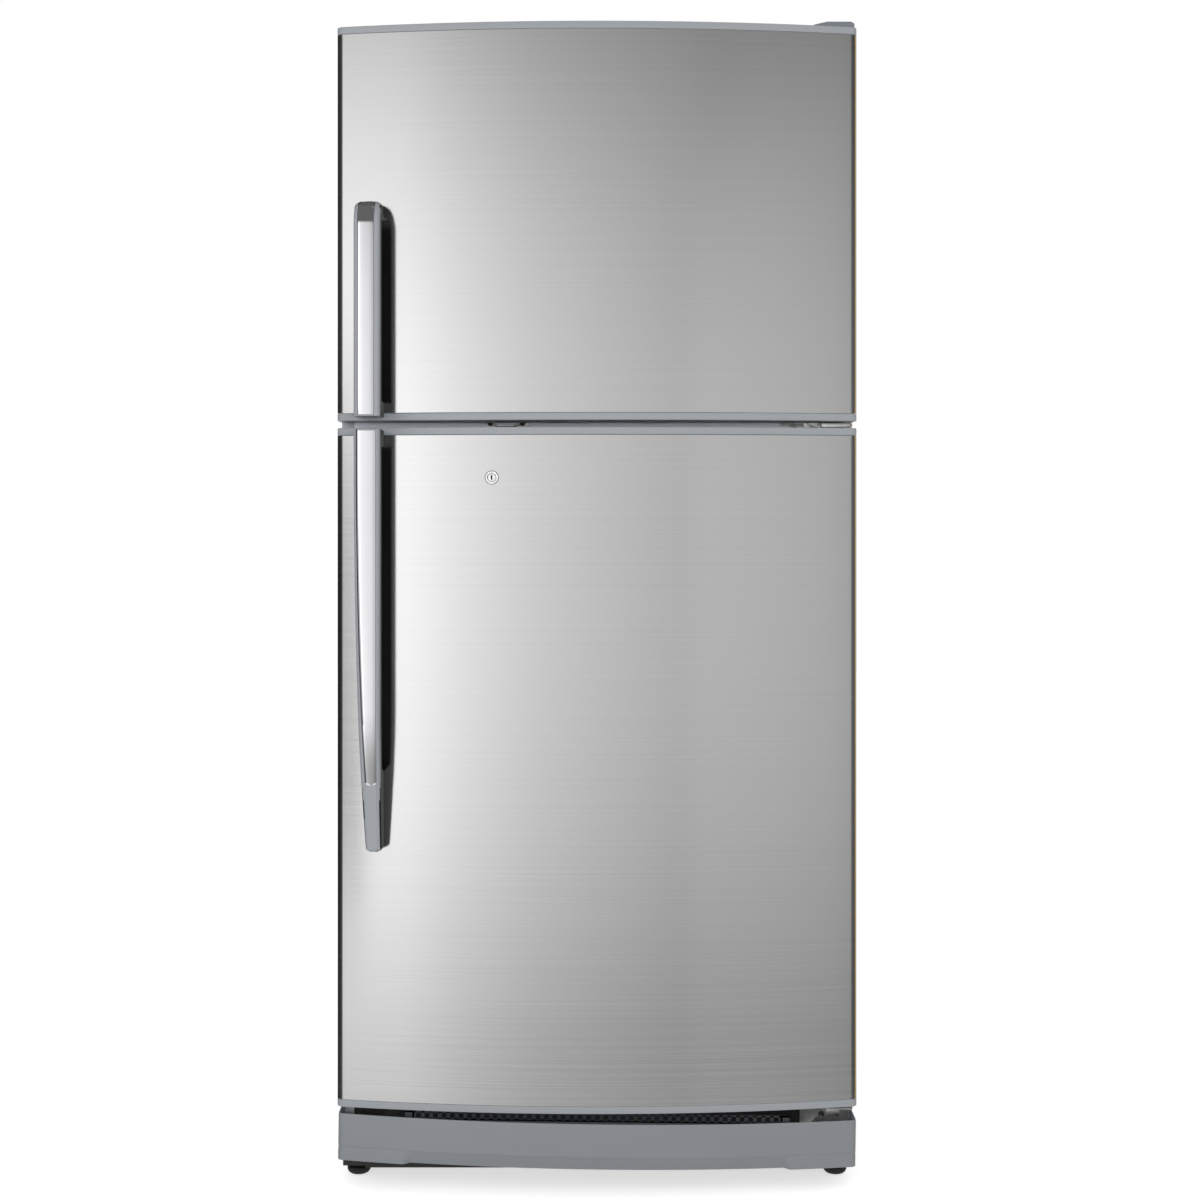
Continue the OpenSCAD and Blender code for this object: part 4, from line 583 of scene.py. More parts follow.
class Rule(Tree):
    """A tree of geometry nodes with named inputs."""

    def __init__(self, name, finish, **sizes):
        self.name = name
        self.finish = finish
        self.sizes = sizes
        group = bpy.data.node_groups.new(name, "GeometryNodeTree")
        super().__init__(group)
        self.keys = {}
        for label, value in sizes.items():
            kind = "NodeSocketInt" if isinstance(value, int) else "NodeSocketFloat"
            self.keys[label] = group.interface.new_socket(name=label, in_out="INPUT", socket_type=kind).identifier
        group.interface.new_socket(name="Shape", in_out="OUTPUT", socket_type="NodeSocketGeometry")
        source = self.add("NodeGroupInput")
        self.size = dict(zip(sizes, source))

    def block(self, x, y, z):
        """A box of that size round the origin."""
        return self.add("GeometryNodeMeshCube", {}, {"Size": self.point(x, y, z)})[0]

    def moved(self, shape, x, y, z):
        return self.add("GeometryNodeTransform", {}, {"Geometry": shape, "Translation": self.point(x, y, z)})[0]

    def repeated(self, points, shape):
        return self.add("GeometryNodeInstanceOnPoints", {}, {"Points": points, "Instance": shape})[0]

    def joined(self, *shapes):
        return self.add("GeometryNodeJoinGeometry", {}, {0: list(shapes)})[0]

    def grown(self, shape, **sizes):
        """Runs the rule with these sizes and gives a plain mesh."""
        if not self.tree.nodes.get("grown"):
            real = self.add("GeometryNodeRealizeInstances", {}, {0: shape})[0]
            done = self.add("GeometryNodeSetMaterial", {}, {"Geometry": real, "Material": self.finish})[0]
            self.add("NodeGroupOutput", {"name": "grown"}, {0: done})
        host = shown(self.name, bpy.data.meshes.new(self.name))
        growth = host.modifiers.new("growth", "NODES")
        growth.node_group = self.tree
        for label, key in self.keys.items():
            growth[key] = sizes.get(label, self.sizes[label])
        mesh = evaluated(host)
        mesh.name = self.name
        return mesh


# Doors: one rule bends every sheet and cap along the same bow and round the same corners

def bowed_band(finish):
    """Grid whose columns run round the door's plan and whose rows run over its eased edge, from the
    back of the upper face to the back of the lower one."""
    r = Rule("bowed_band", finish, HalfWidth=HALF_W, Bow=BOW, Corner=CORNER, Front=Y_BOW, Back=Y_PAN,
             Bottom=0.0, Top=0.1, Ease=0.001, Columns=361, Rows=14)
    s = r.size
    grid = r.add("GeometryNodeMeshGrid", {}, {"Size X": 2.0, "Size Y": 1.0, "Vertices X": s["Columns"],
                                              "Vertices Y": s["Rows"]})[0]
    u, v, _ = r.parts(r.add("GeometryNodeInputPosition")[0])
    span = s["HalfWidth"] - s["Corner"]
    radius = (span * span + s["Bow"] * s["Bow"] - s["Corner"] * s["Corner"]) / ((s["Bow"] - s["Corner"]) * 2)
    lean = span.maths("ARCSINE", span / (radius - s["Corner"]))
    arc_l = radius * lean
    corner_l = s["Corner"] * (math.pi / 2 - lean)
    side_l = s["Back"] - (s["Front"] + s["Bow"])
    run = abs(u) * (arc_l + corner_l + side_l)
    way = u.maths("SIGN", u)
    swing = run.maths("MINIMUM", run, arc_l) / radius
    turn = (run - arc_l).cut(0.0, corner_l) / s["Corner"]
    over = run - arc_l - corner_l
    past = over.maths("MAXIMUM", over, 0.0)
    angle = swing + turn
    sin_a, cos_a = angle.maths("SINE", angle), angle.maths("COSINE", angle)
    sin_s, cos_s = swing.maths("SINE", swing), swing.maths("COSINE", swing)
    # Rows: 0 back of the top, then a quarter round, a straight band, a quarter round, back of the bottom
    step = (v + 0.5) * (s["Rows"] - 1)
    last = s["Rows"] - 1
    half = (s["Rows"] - 2) / 2
    dip = ((step - 1) / (half - 1)).cut(0.0, 1.0) * (math.pi / 2)
    climb = ((last - 1 - step) / (half - 1)).cut(0.0, 1.0) * (math.pi / 2)
    upper = step < (half + 0.5)
    bend = dip * upper + climb * (1 - upper)
    inset = s["Ease"] * (1 - bend.maths("SINE", bend))
    drop = s["Ease"] * (1 - bend.maths("COSINE", bend))
    z = (s["Bottom"] + drop) * upper + (s["Top"] - drop) * (1 - upper)
    x = way * ((radius - s["Corner"]) * sin_s + (s["Corner"] - inset) * sin_a)
    y = s["Front"] + radius - (radius - s["Corner"]) * cos_s - (s["Corner"] - inset) * cos_a + past
    rim = (step < 0.5) + (step > (last - 0.5))
    y = y * (1 - rim) + s["Back"] * rim
    bent = r.add("GeometryNodeSetPosition", {}, {"Geometry": grid, "Position": r.point(x, y, z)})[0]
    return r, bent


def closed_band(rule, shape, name, **sizes):
    """Grows a band and closes its back with one face strip."""
    mesh = rule.grown(shape, **sizes)
    bm = merged(mesh)
    bpy.data.meshes.remove(mesh)
    bmesh.ops.dissolve_degenerate(bm, edges=bm.edges, dist=1e-7)
    bmesh.ops.holes_fill(bm, edges=[e for e in bm.edges if e.is_boundary], sides=0)
    return closed_mesh(name, bm, 40.0)


def bolt_passage(mesh):
    """Cuts the lock bolt's way up through the lower door's cap."""
    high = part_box("lock_bolt")[1]
    wide, deep, play = 0.008, 0.005, 0.0005
    bm = bmesh.new()
    bmesh.ops.create_cube(bm, size=1.0)
    for v in bm.verts:
        v.co = Vector((high.x - wide / 2 + v.co.x * (wide + 2 * play),
                       high.y - deep / 2 + v.co.y * (deep + 2 * play), high.z + v.co.z * 4 * CAP_H))
    way = shown("bolt_way", closed_mesh("bolt_way", bm))
    cap = shown("cap", mesh)
    cut = cap.modifiers.new("way", "BOOLEAN")
    cut.operation, cut.solver, cut.object = "DIFFERENCE", "EXACT", way
    bm = bmesh.new()
    bm.from_mesh(evaluated(cap))
    bpy.data.objects.remove(way)
    return closed_mesh("fridge_top_cap_moulding", bm, 40.0)


def make_doors():
    rule, shape = bowed_band(DOOR_STEEL)
    for door, skin in (("freezer_door", "freezer_door_skin"), ("fridge_door", "fridge_door_skin")):
        low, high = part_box(skin)
        mesh = closed_band(rule, shape, skin, Bottom=low.z, Top=high.z, Ease=0.0003, Rows=6)
        piece(skin.replace("_skin", "_sheet"), mesh, DOOR_STEEL, door, skin)
    for node, up in (("freezer_top_cap", 1), ("freezer_bottom_cap", 0), ("fridge_top_cap", 1),
                     ("fridge_bottom_cap", 0)):
        low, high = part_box(node)
        z0, z1 = (high.z - CAP_H, high.z) if up else (low.z, low.z + CAP_H)
        mesh = closed_band(rule, shape, node, Bottom=z0, Top=z1, Ease=0.0016, Rows=18)
        if node == "fridge_top_cap":
            mesh = bolt_passage(mesh)
        piece(node + "_moulding", mesh, CAP_GREY, nodes[node]["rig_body"], node)


# Handles

def grooved_ring(x0, x1, g0, g1, groove, depth, r, place):
    """Section with round front edges and a groove for the chrome strip between g0 and g1; place
    turns (x, depth) to a point."""
    lip = min(0.0006, groove)
    turns = [math.radians(180 + 18 * i) for i in range(6)]
    points = [(x0 + r + r * math.cos(a), r + r * math.sin(a)) for a in turns]
    points += [(g0 - lip, 0), (g0, lip), (g0, groove), (g1, groove), (g1, lip), (g1 + lip, 0)]
    points += [(x1 - r - r * math.sin(a), r + r * math.cos(a)) for a in turns]
    points += [(x1, depth), (x0, depth)]
    return [place(x, d) for x, d in points]


def crown_ring(x0, x1, place):
    """Section of the chrome strip: a low crown with eased edges."""
    points = [(x0, 0.0013)]
    for t in [i / 10 for i in range(11)]:
        off = abs(2 * t - 1)
        points.append((x0 + (x1 - x0) * t, -PROUD + 0.0003 * off ** 2 + 0.0006 * (1 - t) + 0.0005 * off ** 10))
    points.append((x1, 0.0013))
    return [place(x, d) for x, d in points]


def freezer_path(z0, z1, bend, root):
    """Stations of the freezer handle: up, round the bend and back; the outline's top corners are
    round. Each station turns (x, depth) to a point."""
    stations = []
    top_r, mid, half = 0.009, HANDLE_X0 + HANDLE_W / 2, HANDLE_W / 2

    def rounded(point):
        x, y, z = point
        inset = top_r - math.sqrt(max(0.0, top_r ** 2 - max(0.0, z - z1 + top_r) ** 2))
        return mid + (x - mid) * (half - inset) / half, y, z

    for z in (z0, z0 + 0.002, z1 - bend):
        stations.append(lambda x, d, z=z: (x, BAR_Y + d, z))
    for i in range(1, 25):
        a = math.radians(90 * i / 24)
        stations.append(lambda x, d, a=a: (x, BAR_Y + bend - (bend - d) * math.cos(a),
                                           z1 - bend + (bend - d) * math.sin(a)))
    stations.append(lambda x, d: (x, BAR_Y + bend + root, z1 - d))
    return [lambda x, d, s=s: rounded(s(x, d)) for s in stations]


def finish_handle(node, door, bar, strip, *post):
    """Joins the bar and the post that holds it, between the heights given; the side towards the door
    and the sides' rear halves are black, painted shade where the bar lies in shadow. The chrome strip lies in the
    groove."""
    y0, y1, y2 = BAR_Y + BAR_D - 0.001, bow_y(HANDLE_X1) + 0.001, bow_y(HANDLE_X0) + 0.001
    bar = skin_over(bar)
    bar.from_mesh(plain_mesh("post", skin_over([[(HANDLE_X0, y0, z), (HANDLE_X1, y0, z), (HANDLE_X1, y1, z),
                                                 (HANDLE_X0, y2, z)] for z in post])))
    obj = piece(node + "_bar", closed_mesh(node + "_bar", bar, 38), HANDLE_LACQUER, door, node)
    # Painted shade on the back and the rear halves of the sides.
    painted(obj, HANDLE_BACK_SHADE, lambda face: face.normal.y > 0.3
            or (face.center.y - BAR_Y > 0.012 and abs(face.normal.x) > 0.7))
    piece(node + "_insert", closed_mesh(node + "_insert", skin_over(strip), 50), HANDLE_CHROME, door,
          node + "_strip")


def make_freezer_handle():
    low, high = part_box("freezer_handle")
    z0, z1, bend = low.z, high.z, 0.037
    g0 = HANDLE_X0 + (HANDLE_W - STRIP_W) * 0.4 - 0.0004
    g1 = g0 + STRIP_W + 0.0008
    root = high.y - BAR_Y - bend - 0.0005
    bar = [grooved_ring(HANDLE_X0, HANDLE_X1, g0, g1, 0.0016, BAR_D, 0.005, p)
           for p in freezer_path(z0, z1, bend, root)]
    strip = [crown_ring(g0 + 0.0004, g1 - 0.0004, p) for p in freezer_path(z0 + 0.002, z1, bend, 0.011)]
    finish_handle("freezer_handle", "freezer_door", bar, strip, z0, z0 + 0.021, z0 + 0.022)


TAIL_IN = 0.015
TAIL_BACK = 0.023
TAIL_H = 0.200
HANDLE_L = 0.608
SWELL = HANDLE_L - TAIL_H


def edge_in(down):
    """How far the left edge has come in, growing towards the tip."""
    return TAIL_IN * (down / HANDLE_L) ** 2.2


def strip_edges(down):
    """Left and right edge of the chrome strip."""
    return HANDLE_X0 + 0.0047 + 1.15 * edge_in(down), HANDLE_X1 - 0.0062


def corner_pull(down, end, r):
    """How far a corner of radius r has drawn the edge in, close above end."""
    over = min(1.0, max(0.0, (down - end + r) / r))
    return r * (1 - math.sqrt(max(0.0, 1 - over ** 2)))


def fall(down):
    """How far the front has fallen back towards the door."""
    return 0.0 if down <= SWELL else TAIL_BACK * ((down - SWELL) / TAIL_H) ** 1.6


def make_fridge_handle():
    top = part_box("fridge_handle")[1].z
    downs = [0.0, 0.0015] + [SWELL * i / 6 for i in range(1, 7)]
    downs += [SWELL + (TAIL_H - 0.005) * i / 22 for i in range(1, 23)]
    downs += [HANDLE_L - 0.005 * math.cos(math.pi / 2 * i / 8) for i in range(1, 9)]
    bar = []
    strip_end = HANDLE_L - 0.098
    for down in downs:
        left = HANDLE_X0 + edge_in(down)
        pull = corner_pull(down, HANDLE_L, 0.005)
        sunk = 0.0016 if down < strip_end - 0.002 else 0.0
        x0, x1 = strip_edges(down)
        deep = BAR_D if down <= SWELL + 0.42 * TAIL_H else max(bow_y(left) - BAR_Y - 0.0005, BAR_D) - fall(down)
        front = BAR_Y + fall(down) + 0.6 * pull
        bar.append(grooved_ring(left + pull, HANDLE_X1 - pull, x0 - 0.0004, x1 + 0.0004, sunk, deep,
                                0.005 if sunk else 0.006, lambda x, d, y=front, z=top - down: (x, y + d, z)))
    strip = []
    steps = [0.002, 0.004] + [SWELL * i / 6 for i in range(1, 7)]
    steps += [SWELL + (strip_end - 0.004 - SWELL) * i / 16 for i in range(1, 17)]
    steps += [strip_end - 0.004 * math.cos(math.pi / 2 * i / 8) for i in range(1, 9)]
    for down in steps:
        x0, x1 = strip_edges(down)
        pull = corner_pull(down, strip_end, 0.004)
        strip.append(crown_ring(x0 + pull, x1 - pull,
                                lambda x, d, y=BAR_Y + fall(down), z=top - down: (x, y + d, z)))
    finish_handle("fridge_handle", "fridge_door", bar, strip, top - 0.022, top - 0.021, top)


# Plinth and grille, which hang a little askew

def askew(x, y, z):
    """A point that is drawn level, as it hangs."""
    lean, mid = math.radians(0.8), 0.073
    return (x * math.cos(lean) + (z - mid) * math.sin(lean), y,
            mid + (z - mid) * math.cos(lean) - x * math.sin(lean))


def make_plinth():
    z0, h = 0.039, 0.068
    inset0, scoop_h, scoop_in, scoop_half = 0.0012, 0.020, 0.009, HALF_W - 0.101
    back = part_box("plinth")[1].y - 0.0002

    def column(a):
        """Direction of the front there, and the middle of its corner radius."""
        bow = min(LEAN, max(-LEAN, a))
        return (math.sin(a), -math.cos(a), (BOW_R - CORNER) * math.sin(bow),
                Y_BOW + BOW_R - (BOW_R - CORNER) * math.cos(bow))

    turns = [LEAN + (math.pi / 2 - LEAN) * i / 8 for i in range(1, 9)]
    turns = [-a for a in reversed(turns)] + [-LEAN + LEAN * i / 90 for i in range(181)] + turns
    columns = [column(a) for a in turns]
    rows = [(z0 + h - 0.0045, 0.0035), (z0 + h - 0.0015, 0.0030), (z0 + h - 0.0004, 0.0018),
            (z0 + h, 0.0010), (z0 + h - 0.0006, 0.0003), (z0 + h - 0.002, 0.0)]
    rows += [(z0 + h - 0.002 - (h - 0.002 - scoop_h - 0.0015) * i / 5, 0.0) for i in range(1, 6)]
    rows += [(z0 + scoop_h + 0.0006, 0.0), (z0 + scoop_h - 0.0002, 0.0006)]
    rows += [(z0 + scoop_h * (1 - i / 5) - 0.0008 * (i < 5), 0.0) for i in range(1, 6)]
    rows += [(z0, 0.003)]
    rings = []
    for z, trim in rows:
        ring = []
        for sx, sy, cx, cy in columns:
            r = CORNER - inset0 - trim
            x = cx + r * sx
            tuck = 0.0
            if z < z0 + scoop_h:
                gate = min(1.0, max(0.0, (scoop_half - abs(x)) / 0.004))
                tuck = scoop_in * (z0 + scoop_h - z) / scoop_h * gate
            ring.append((x - tuck * sx, cy + r * sy - tuck * sy, z))
        ring = [(ring[0][0], back, z)] + ring + [(ring[-1][0], back, z)]
        rings.append([askew(*p) for p in ring])
    bm = skin_over(rings, solid=False)
    bmesh.ops.recalc_face_normals(bm, faces=bm.faces)
    mesh = plain_mesh("plinth_raw", bm)
    obj = shown("plinth_raw", mesh)
    outward = sum(p.normal.y * p.area for p in mesh.polygons if abs(p.center.x) < 0.02) < 0
    wall = obj.modifiers.new("wall", "SOLIDIFY")
    wall.thickness = 0.003
    wall.offset = -1 if outward else 1
    mesh = evaluated(obj)
    bm = bmesh.new()
    bm.from_mesh(mesh)
    y_in = Y_BOW + 0.027 + 0.006
    top = z0 + h - 0.005
    front = [(cx + (CORNER - 0.004) * sx, cy + (CORNER - 0.004) * sy) for sx, sy, cx, cy in columns]
    front = [p for p in front if p[1] < y_in]
    outline = front + [(front[-1][0], y_in), (front[0][0], y_in)]
    ledge = [[bm.verts.new(askew(x, y, z)) for x, y in outline] for z in (top - 0.003, top)]
    bm.faces.new(ledge[0])
    bm.faces.new(ledge[1][::-1])
    for i in range(len(outline)):
        j = (i + 1) % len(outline)
        bm.faces.new((ledge[0][j], ledge[0][i], ledge[1][i], ledge[1][j]))
    mesh = closed_mesh("plinth_panel", bm, 28, outward=False)
    piece("plinth_panel", mesh, PLINTH_GREY, "cabinet", "plinth")


def make_grille():
    """Frame and upright bars of the air grille, on its ledge; their dark grey is painted shade from the door above
    them.
    """
    half, pitch = HALF_W - 0.100, 0.0124
    r = Rule("grille_bars", GRILLE_SHADE_GREY, Half=half, Pitch=pitch, Slot=0.007,
             Bars=int((2 * half - 0.020) / pitch) + 1, Bottom=0.1022, Top=0.115, Front=Y_BOW + 0.027, Thick=0.0025)
    s = r.size
    wide, thick, height = s["Half"] * 2, s["Thick"], s["Top"] - s["Bottom"]
    y, z = s["Front"] + thick / 2, (s["Top"] + s["Bottom"]) / 2
    run = s["Pitch"] * (s["Bars"] - 1)
    line = r.add("GeometryNodeMeshLine", {"mode": "OFFSET"},
                 {"Count": s["Bars"], "Start Location": r.point(run / -2, y, z),
                  "Offset": r.point(s["Pitch"], 0.0, 0.0)})[0]
    bars = r.repeated(line, r.block(s["Pitch"] - s["Slot"], thick, height - 0.001))
    rails = [r.moved(r.block(wide, thick, 0.003), 0.0, y, s["Bottom"] + 0.0015),
             r.moved(r.block(wide, thick, 0.0025), 0.0, y, s["Top"] - 0.00125),
             r.moved(r.block(wide, 0.006, 0.0015), 0.0, s["Front"] + 0.003, s["Bottom"] + 0.00075)]
    ends = [r.moved(r.block(s["Half"] - run / 2, thick, height), (s["Half"] + run / 2) / 2 * way, y, z)
            for way in (-1, 1)]
    mesh = r.grown(r.joined(bars, *rails, *ends))
    for v in mesh.vertices:
        v.co = askew(*v.co)
    piece("grille_bars", mesh, GRILLE_SHADE_GREY, "cabinet", "plinth_grille")


# Screws: one rule turns a head, its recess and its shank; the places come from the CAD

def make_screws():
    bm = merged(nodes["hinge_screws"].data)
    seen, heads = set(), []
    for v in bm.verts:
        if v in seen:
            continue
        heap, island = [v], []
        seen.add(v)
        while heap:
            a = heap.pop()
            island.append(a.co.copy())
            for e in a.link_edges:
                b = e.other_vert(a)
                if b not in seen:
                    seen.add(b)
                    heap.append(b)
        low = Vector([min(c[i] for c in island) for i in range(3)])
        high = Vector([max(c[i] for c in island) for i in range(3)])
        heads.append((low, high))
    bm.free()
    r = Rule("screw_head", SCREW_STEEL, Head=0.0042, Crown=0.0026, Shank=0.0024, Grip=0.003)
    s = r.size
    dome = r.add("GeometryNodeMeshUVSphere", {}, {"Segments": 28, "Rings": 12, "Radius": 1.0})[0]
    dome = r.add("GeometryNodeTransform", {},
                 {"Geometry": dome, "Scale": r.point(s["Head"], s["Head"], s["Crown"])})[0]
    z = r.parts(r.add("GeometryNodeInputPosition")[0])[2]
    dome = r.add("GeometryNodeDeleteGeometry", {"domain": "FACE"}, {"Geometry": dome, "Selection": z < -0.0001})[0]
    shank = r.add("GeometryNodeMeshCylinder", {}, {"Vertices": 16, "Radius": s["Shank"], "Depth": s["Grip"]})[0]
    shank = r.moved(shank, 0.0, 0.0, s["Grip"] / -2)
    rim = r.add("GeometryNodeMeshCircle", {"fill_type": "NGON"}, {"Vertices": 28, "Radius": s["Head"]})[0]
    head = r.add("GeometryNodeMergeByDistance", {}, {"Geometry": r.joined(dome, rim), "Distance": 0.000002})[0]
    for long, wide in ((1.1, 0.2), (0.2, 1.1)):
        slot = r.moved(r.block(s["Head"] * long, s["Head"] * wide, s["Crown"]), 0.0, 0.0, s["Crown"] * 1.05)
        head = r.add("GeometryNodeMeshBoolean", {"operation": "DIFFERENCE"}, {"Mesh 1": head, "Mesh 2": slot})[0]
    shape = r.joined(head, shank)
    whole = bmesh.new()
    for low, high in heads:
        size = high - low
        up = max(range(3), key=lambda i: -abs(size[(i + 1) % 3] - size[(i + 2) % 3]))
        head_r = max(size[(up + 1) % 3], size[(up + 2) % 3]) / 2
        mesh = r.grown(shape, Head=head_r, Grip=max(size[up] - 0.0026, 0.001), Shank=min(0.0024, head_r * 0.5))
        centre = (low + high) / 2
        for v in mesh.vertices:
            x, y, z = v.co
            if up == 2:
                v.co = (centre.x + x, centre.y + y, high.z - 0.0026 + z)
            else:
                v.co = (centre.x + x, low.y + 0.0026 - z, centre.z + y)
        whole.from_mesh(mesh)
        bpy.data.meshes.remove(mesh)
    bmesh.ops.recalc_face_normals(whole, faces=whole.faces)
    mesh = closed_mesh("hinge_screw_heads", whole, 50, outward=False)
    piece("hinge_screw_heads", mesh, SCREW_STEEL, "cabinet", "hinge_screws")


# Lock front: ring with a dished face and a keyway; the keyway and the gap round the plug are painted shade, and
# the ring's dark outer edge is a black washer and painted contact shadow

def circle(r, y, steps):
    """Points round the lock's middle, at a depth y."""
    turns = [2 * math.pi * i / steps for i in range(steps)]
    return [(LOCK.x + r * math.cos(a), y, LOCK.z + r * math.sin(a)) for a in turns]


def keyhole(y, steps):
    """Points of the slot for the key, as many as on a circle."""
    points = []
    for i in range(steps):
        c, s = math.cos(2 * math.pi * i / steps), math.sin(2 * math.pi * i / steps)
        k = 1 / max(abs(c) / 0.0012, abs(s) / 0.0034)
        points.append((LOCK.x + k * c, y, LOCK.z + k * s))
    return points


def off_axis(face):
    return math.hypot(face.center.x - LOCK.x, face.center.z - LOCK.z)


def make_lock():
    y0 = bow_y(LOCK.x)
    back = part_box("lock_body")[1].y
    rim = [(0.0001, back), (0.0078, back), (0.0078, y0 - 0.0004), (0.0100, y0 - 0.0004), (0.0100, y0 - 0.0010),
           (0.0093, y0 - 0.0010), (0.0093, y0 - 0.0018), (0.0089, y0 - 0.0024), (0.0071, y0 - 0.0024),
           (0.0066, y0 - 0.0021), (0.0064, y0 - 0.0012), (0.0062, y0 - 0.0010), (0.00612, y0 + 0.004),
           (0.0001, y0 + 0.004)]
    mesh = closed_mesh("lock_ring", skin_over([circle(r, y, 64) for r, y in rim]), 30)
    obj = piece("lock_ring", mesh, LOCK_CHROME_PAINTED_SHINE, "fridge_door", "lock_body")
    # Painted shade on the ring's inner gap, and a painted contact shadow on its outer edge, which is also a black
    # washer.
    painted(obj, KEYWAY_SHADE, lambda face: not 0.0063 < off_axis(face) < 0.0094)
    plug = [(0.0054, y0 + 0.0008), (0.0055, y0 - 0.0017), (0.0053, y0 - 0.0021), (0.0051, y0 - 0.0022)]
    rings = [circle(r, y, 48) for r, y in plug] + [keyhole(y0 - 0.0022, 48), keyhole(y0 - 0.0003, 48)]
    mesh = closed_mesh("lock_plug", skin_over(rings), 35)
    obj = piece("lock_plug", mesh, LOCK_CHROME_PAINTED_SHINE, "lock_cylinder", "lock_core")
    # Painted shade inside the keyway.
    painted(obj, KEYWAY_SHADE, lambda face: off_axis(face) < 0.0036 and face.center.y > y0 - 0.0017)


# Hinge cover

def low_front(bm):
    """Makes it low over the door; it rises to its full height behind it."""
    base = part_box("top_hinge_cover")[0].z
    front, run = -0.262, 0.027
    for y in (front, front + run):
        bmesh.ops.bisect_plane(bm, geom=bm.verts[:] + bm.edges[:] + bm.faces[:], plane_co=(0, y, 0),
                               plane_no=(0, 1, 0))
    for v in bm.verts:
        rise = min(1.0, max(0.0, (v.co.y - front) / run))
        v.co.z = base + (v.co.z - base) * (0.58 + 0.42 * rise)


make_doors()
make_freezer_handle()
make_fridge_handle()
make_plinth()
make_grille()
make_screws()
make_lock()

# CAD solids with eased edges, and those that need only a finish
eased("top_hinge_cover", COVER_GREY, 0.0012, low_front)
for node, finish, slot, edge in (
        ("top_hinge", HINGE_STEEL, "hinge_steel", 0.0004),
        ("middle_hinge", HINGE_BRIGHT, "hinge_steel", 0.0004),
        ("bottom_hinge", HINGE_STEEL, "hinge_steel", 0.0004),
        ("lock_strike", HINGE_BRIGHT, "hinge_steel", 0.0003),
        ("cabinet_shell", CABINET_PAINT, "shell_paint", 0.0),
        # painted light: the mullion cover's pale enamel brightens the shaded gap
        ("mullion_cover", MULLION_PAINT_LIGHTENED, "mullion", 0.0003),
        ("freezer_liner", LINER_WHITE, "liner", 0.0),
        ("fridge_liner", LINER_WHITE, "liner", 0.0),
        ("freezer_door_liner", LINER_WHITE, "liner", 0.0),
        ("fridge_door_liner", LINER_WHITE, "liner", 0.0),
        ("freezer_seal", SEAL_VINYL, "seal_rubber", 0.001),
        ("fridge_seal", SEAL_VINYL, "seal_rubber", 0.001),
        ("freezer_bins", BIN_CLEAR, "clear_plastic", 0.0006),
        ("fridge_bins", BIN_CLEAR, "clear_plastic", 0.0006),
        ("crisper_left", DRAWER_CLEAR, "clear_plastic", 0.0006),
        ("crisper_right", DRAWER_CLEAR, "clear_plastic", 0.0006),
        ("ice_bin", DRAWER_CLEAR, "clear_plastic", 0.0006),
        ("ice_tray", DRAWER_CLEAR, "clear_plastic", 0.0004),
        ("lamp_cover", BIN_CLEAR, "clear_plastic", 0.0004),
        ("shelf_frames", PART_WHITE, "liner", 0.0008),
        ("shelf_glass", SHELF_PANE, "shelf_glass", 0.0005),
        ("crisper_cover", SHELF_PANE, "shelf_glass", 0.0008),
        ("freezer_shelf", PART_WHITE, "liner", 0.0008),
        ("ice_stand", PART_WHITE, "liner", 0.0006),
        ("evaporator_cover", PART_WHITE, "liner", 0.0004),
        ("control_housing", PART_WHITE, "liner", 0.001),
        ("control_knob", PART_WHITE, "liner", 0.0006),
        ("light_switch", PART_WHITE, "liner", 0.0006),
        ("fan_blade", FAN_DARK, "dark_plastic", 0.0003),
        ("fan_motor", FAN_DARK, "dark_plastic", 0.0004),
        ("drip_pan", PAN_DARK, "dark_plastic", 0.0006),
        ("compressor", SHELL_PAINT, "frame_black", 0.0006),
        ("foot_left", FOOT_RUBBER, "foot_rubber", 0.0),
        ("foot_right", FOOT_RUBBER, "foot_rubber", 0.0),
        ("roller_left", FOOT_RUBBER, "foot_rubber", 0.0006),
        ("roller_right", FOOT_RUBBER, "foot_rubber", 0.0006)):
    eased(node, finish, edge)
for node, finish in (("base_frame", BASE_PAINT), ("back_panel", REAR_ZINC), ("machine_cover", REAR_ZINC),
                     ("cabinet_foam", FOAM), ("freezer_door_foam", FOAM), ("fridge_door_foam", FOAM),
                     ("evaporator", COIL_ALUMINIUM), ("lock_bolt", LOCK_CHROME_PAINTED_SHINE)):
    finished(nodes[node].data, finish)


# Studio: white floor and backdrop, plain light, and the room that shines in the steel

def white_floor():
    """A plate under the part, white to the eye, that keeps the shadow; metal mirrors the room's own
    floor in its place."""
    mesh = bpy.data.meshes.new("floor")
    mesh.from_pydata([(-6, -0.6, 0), (6, -0.6, 0), (6, 9, 0), (-6, 9, 0)], [], [(0, 1, 2, 3)])
    f = Finish("floor_white", Roughness=0.9, **{"Base Color": (0.8, 0.8, 0.8, 1), "Emission Strength": 1.0})
    f.sets("Emission Color", f.blend(f.rays("Is Camera Ray", "Is Transmission Ray"), tone(0.0), tone(0.6)))
    seen = f.shaders(f.rays("Is Glossy Ray"), f.shader, f.add("ShaderNodeBsdfTransparent")[0])
    f.lead(seen, f.tree.nodes["Material Output"].inputs["Surface"])
    mesh.materials.append(f.material)
    shown("floor", mesh)


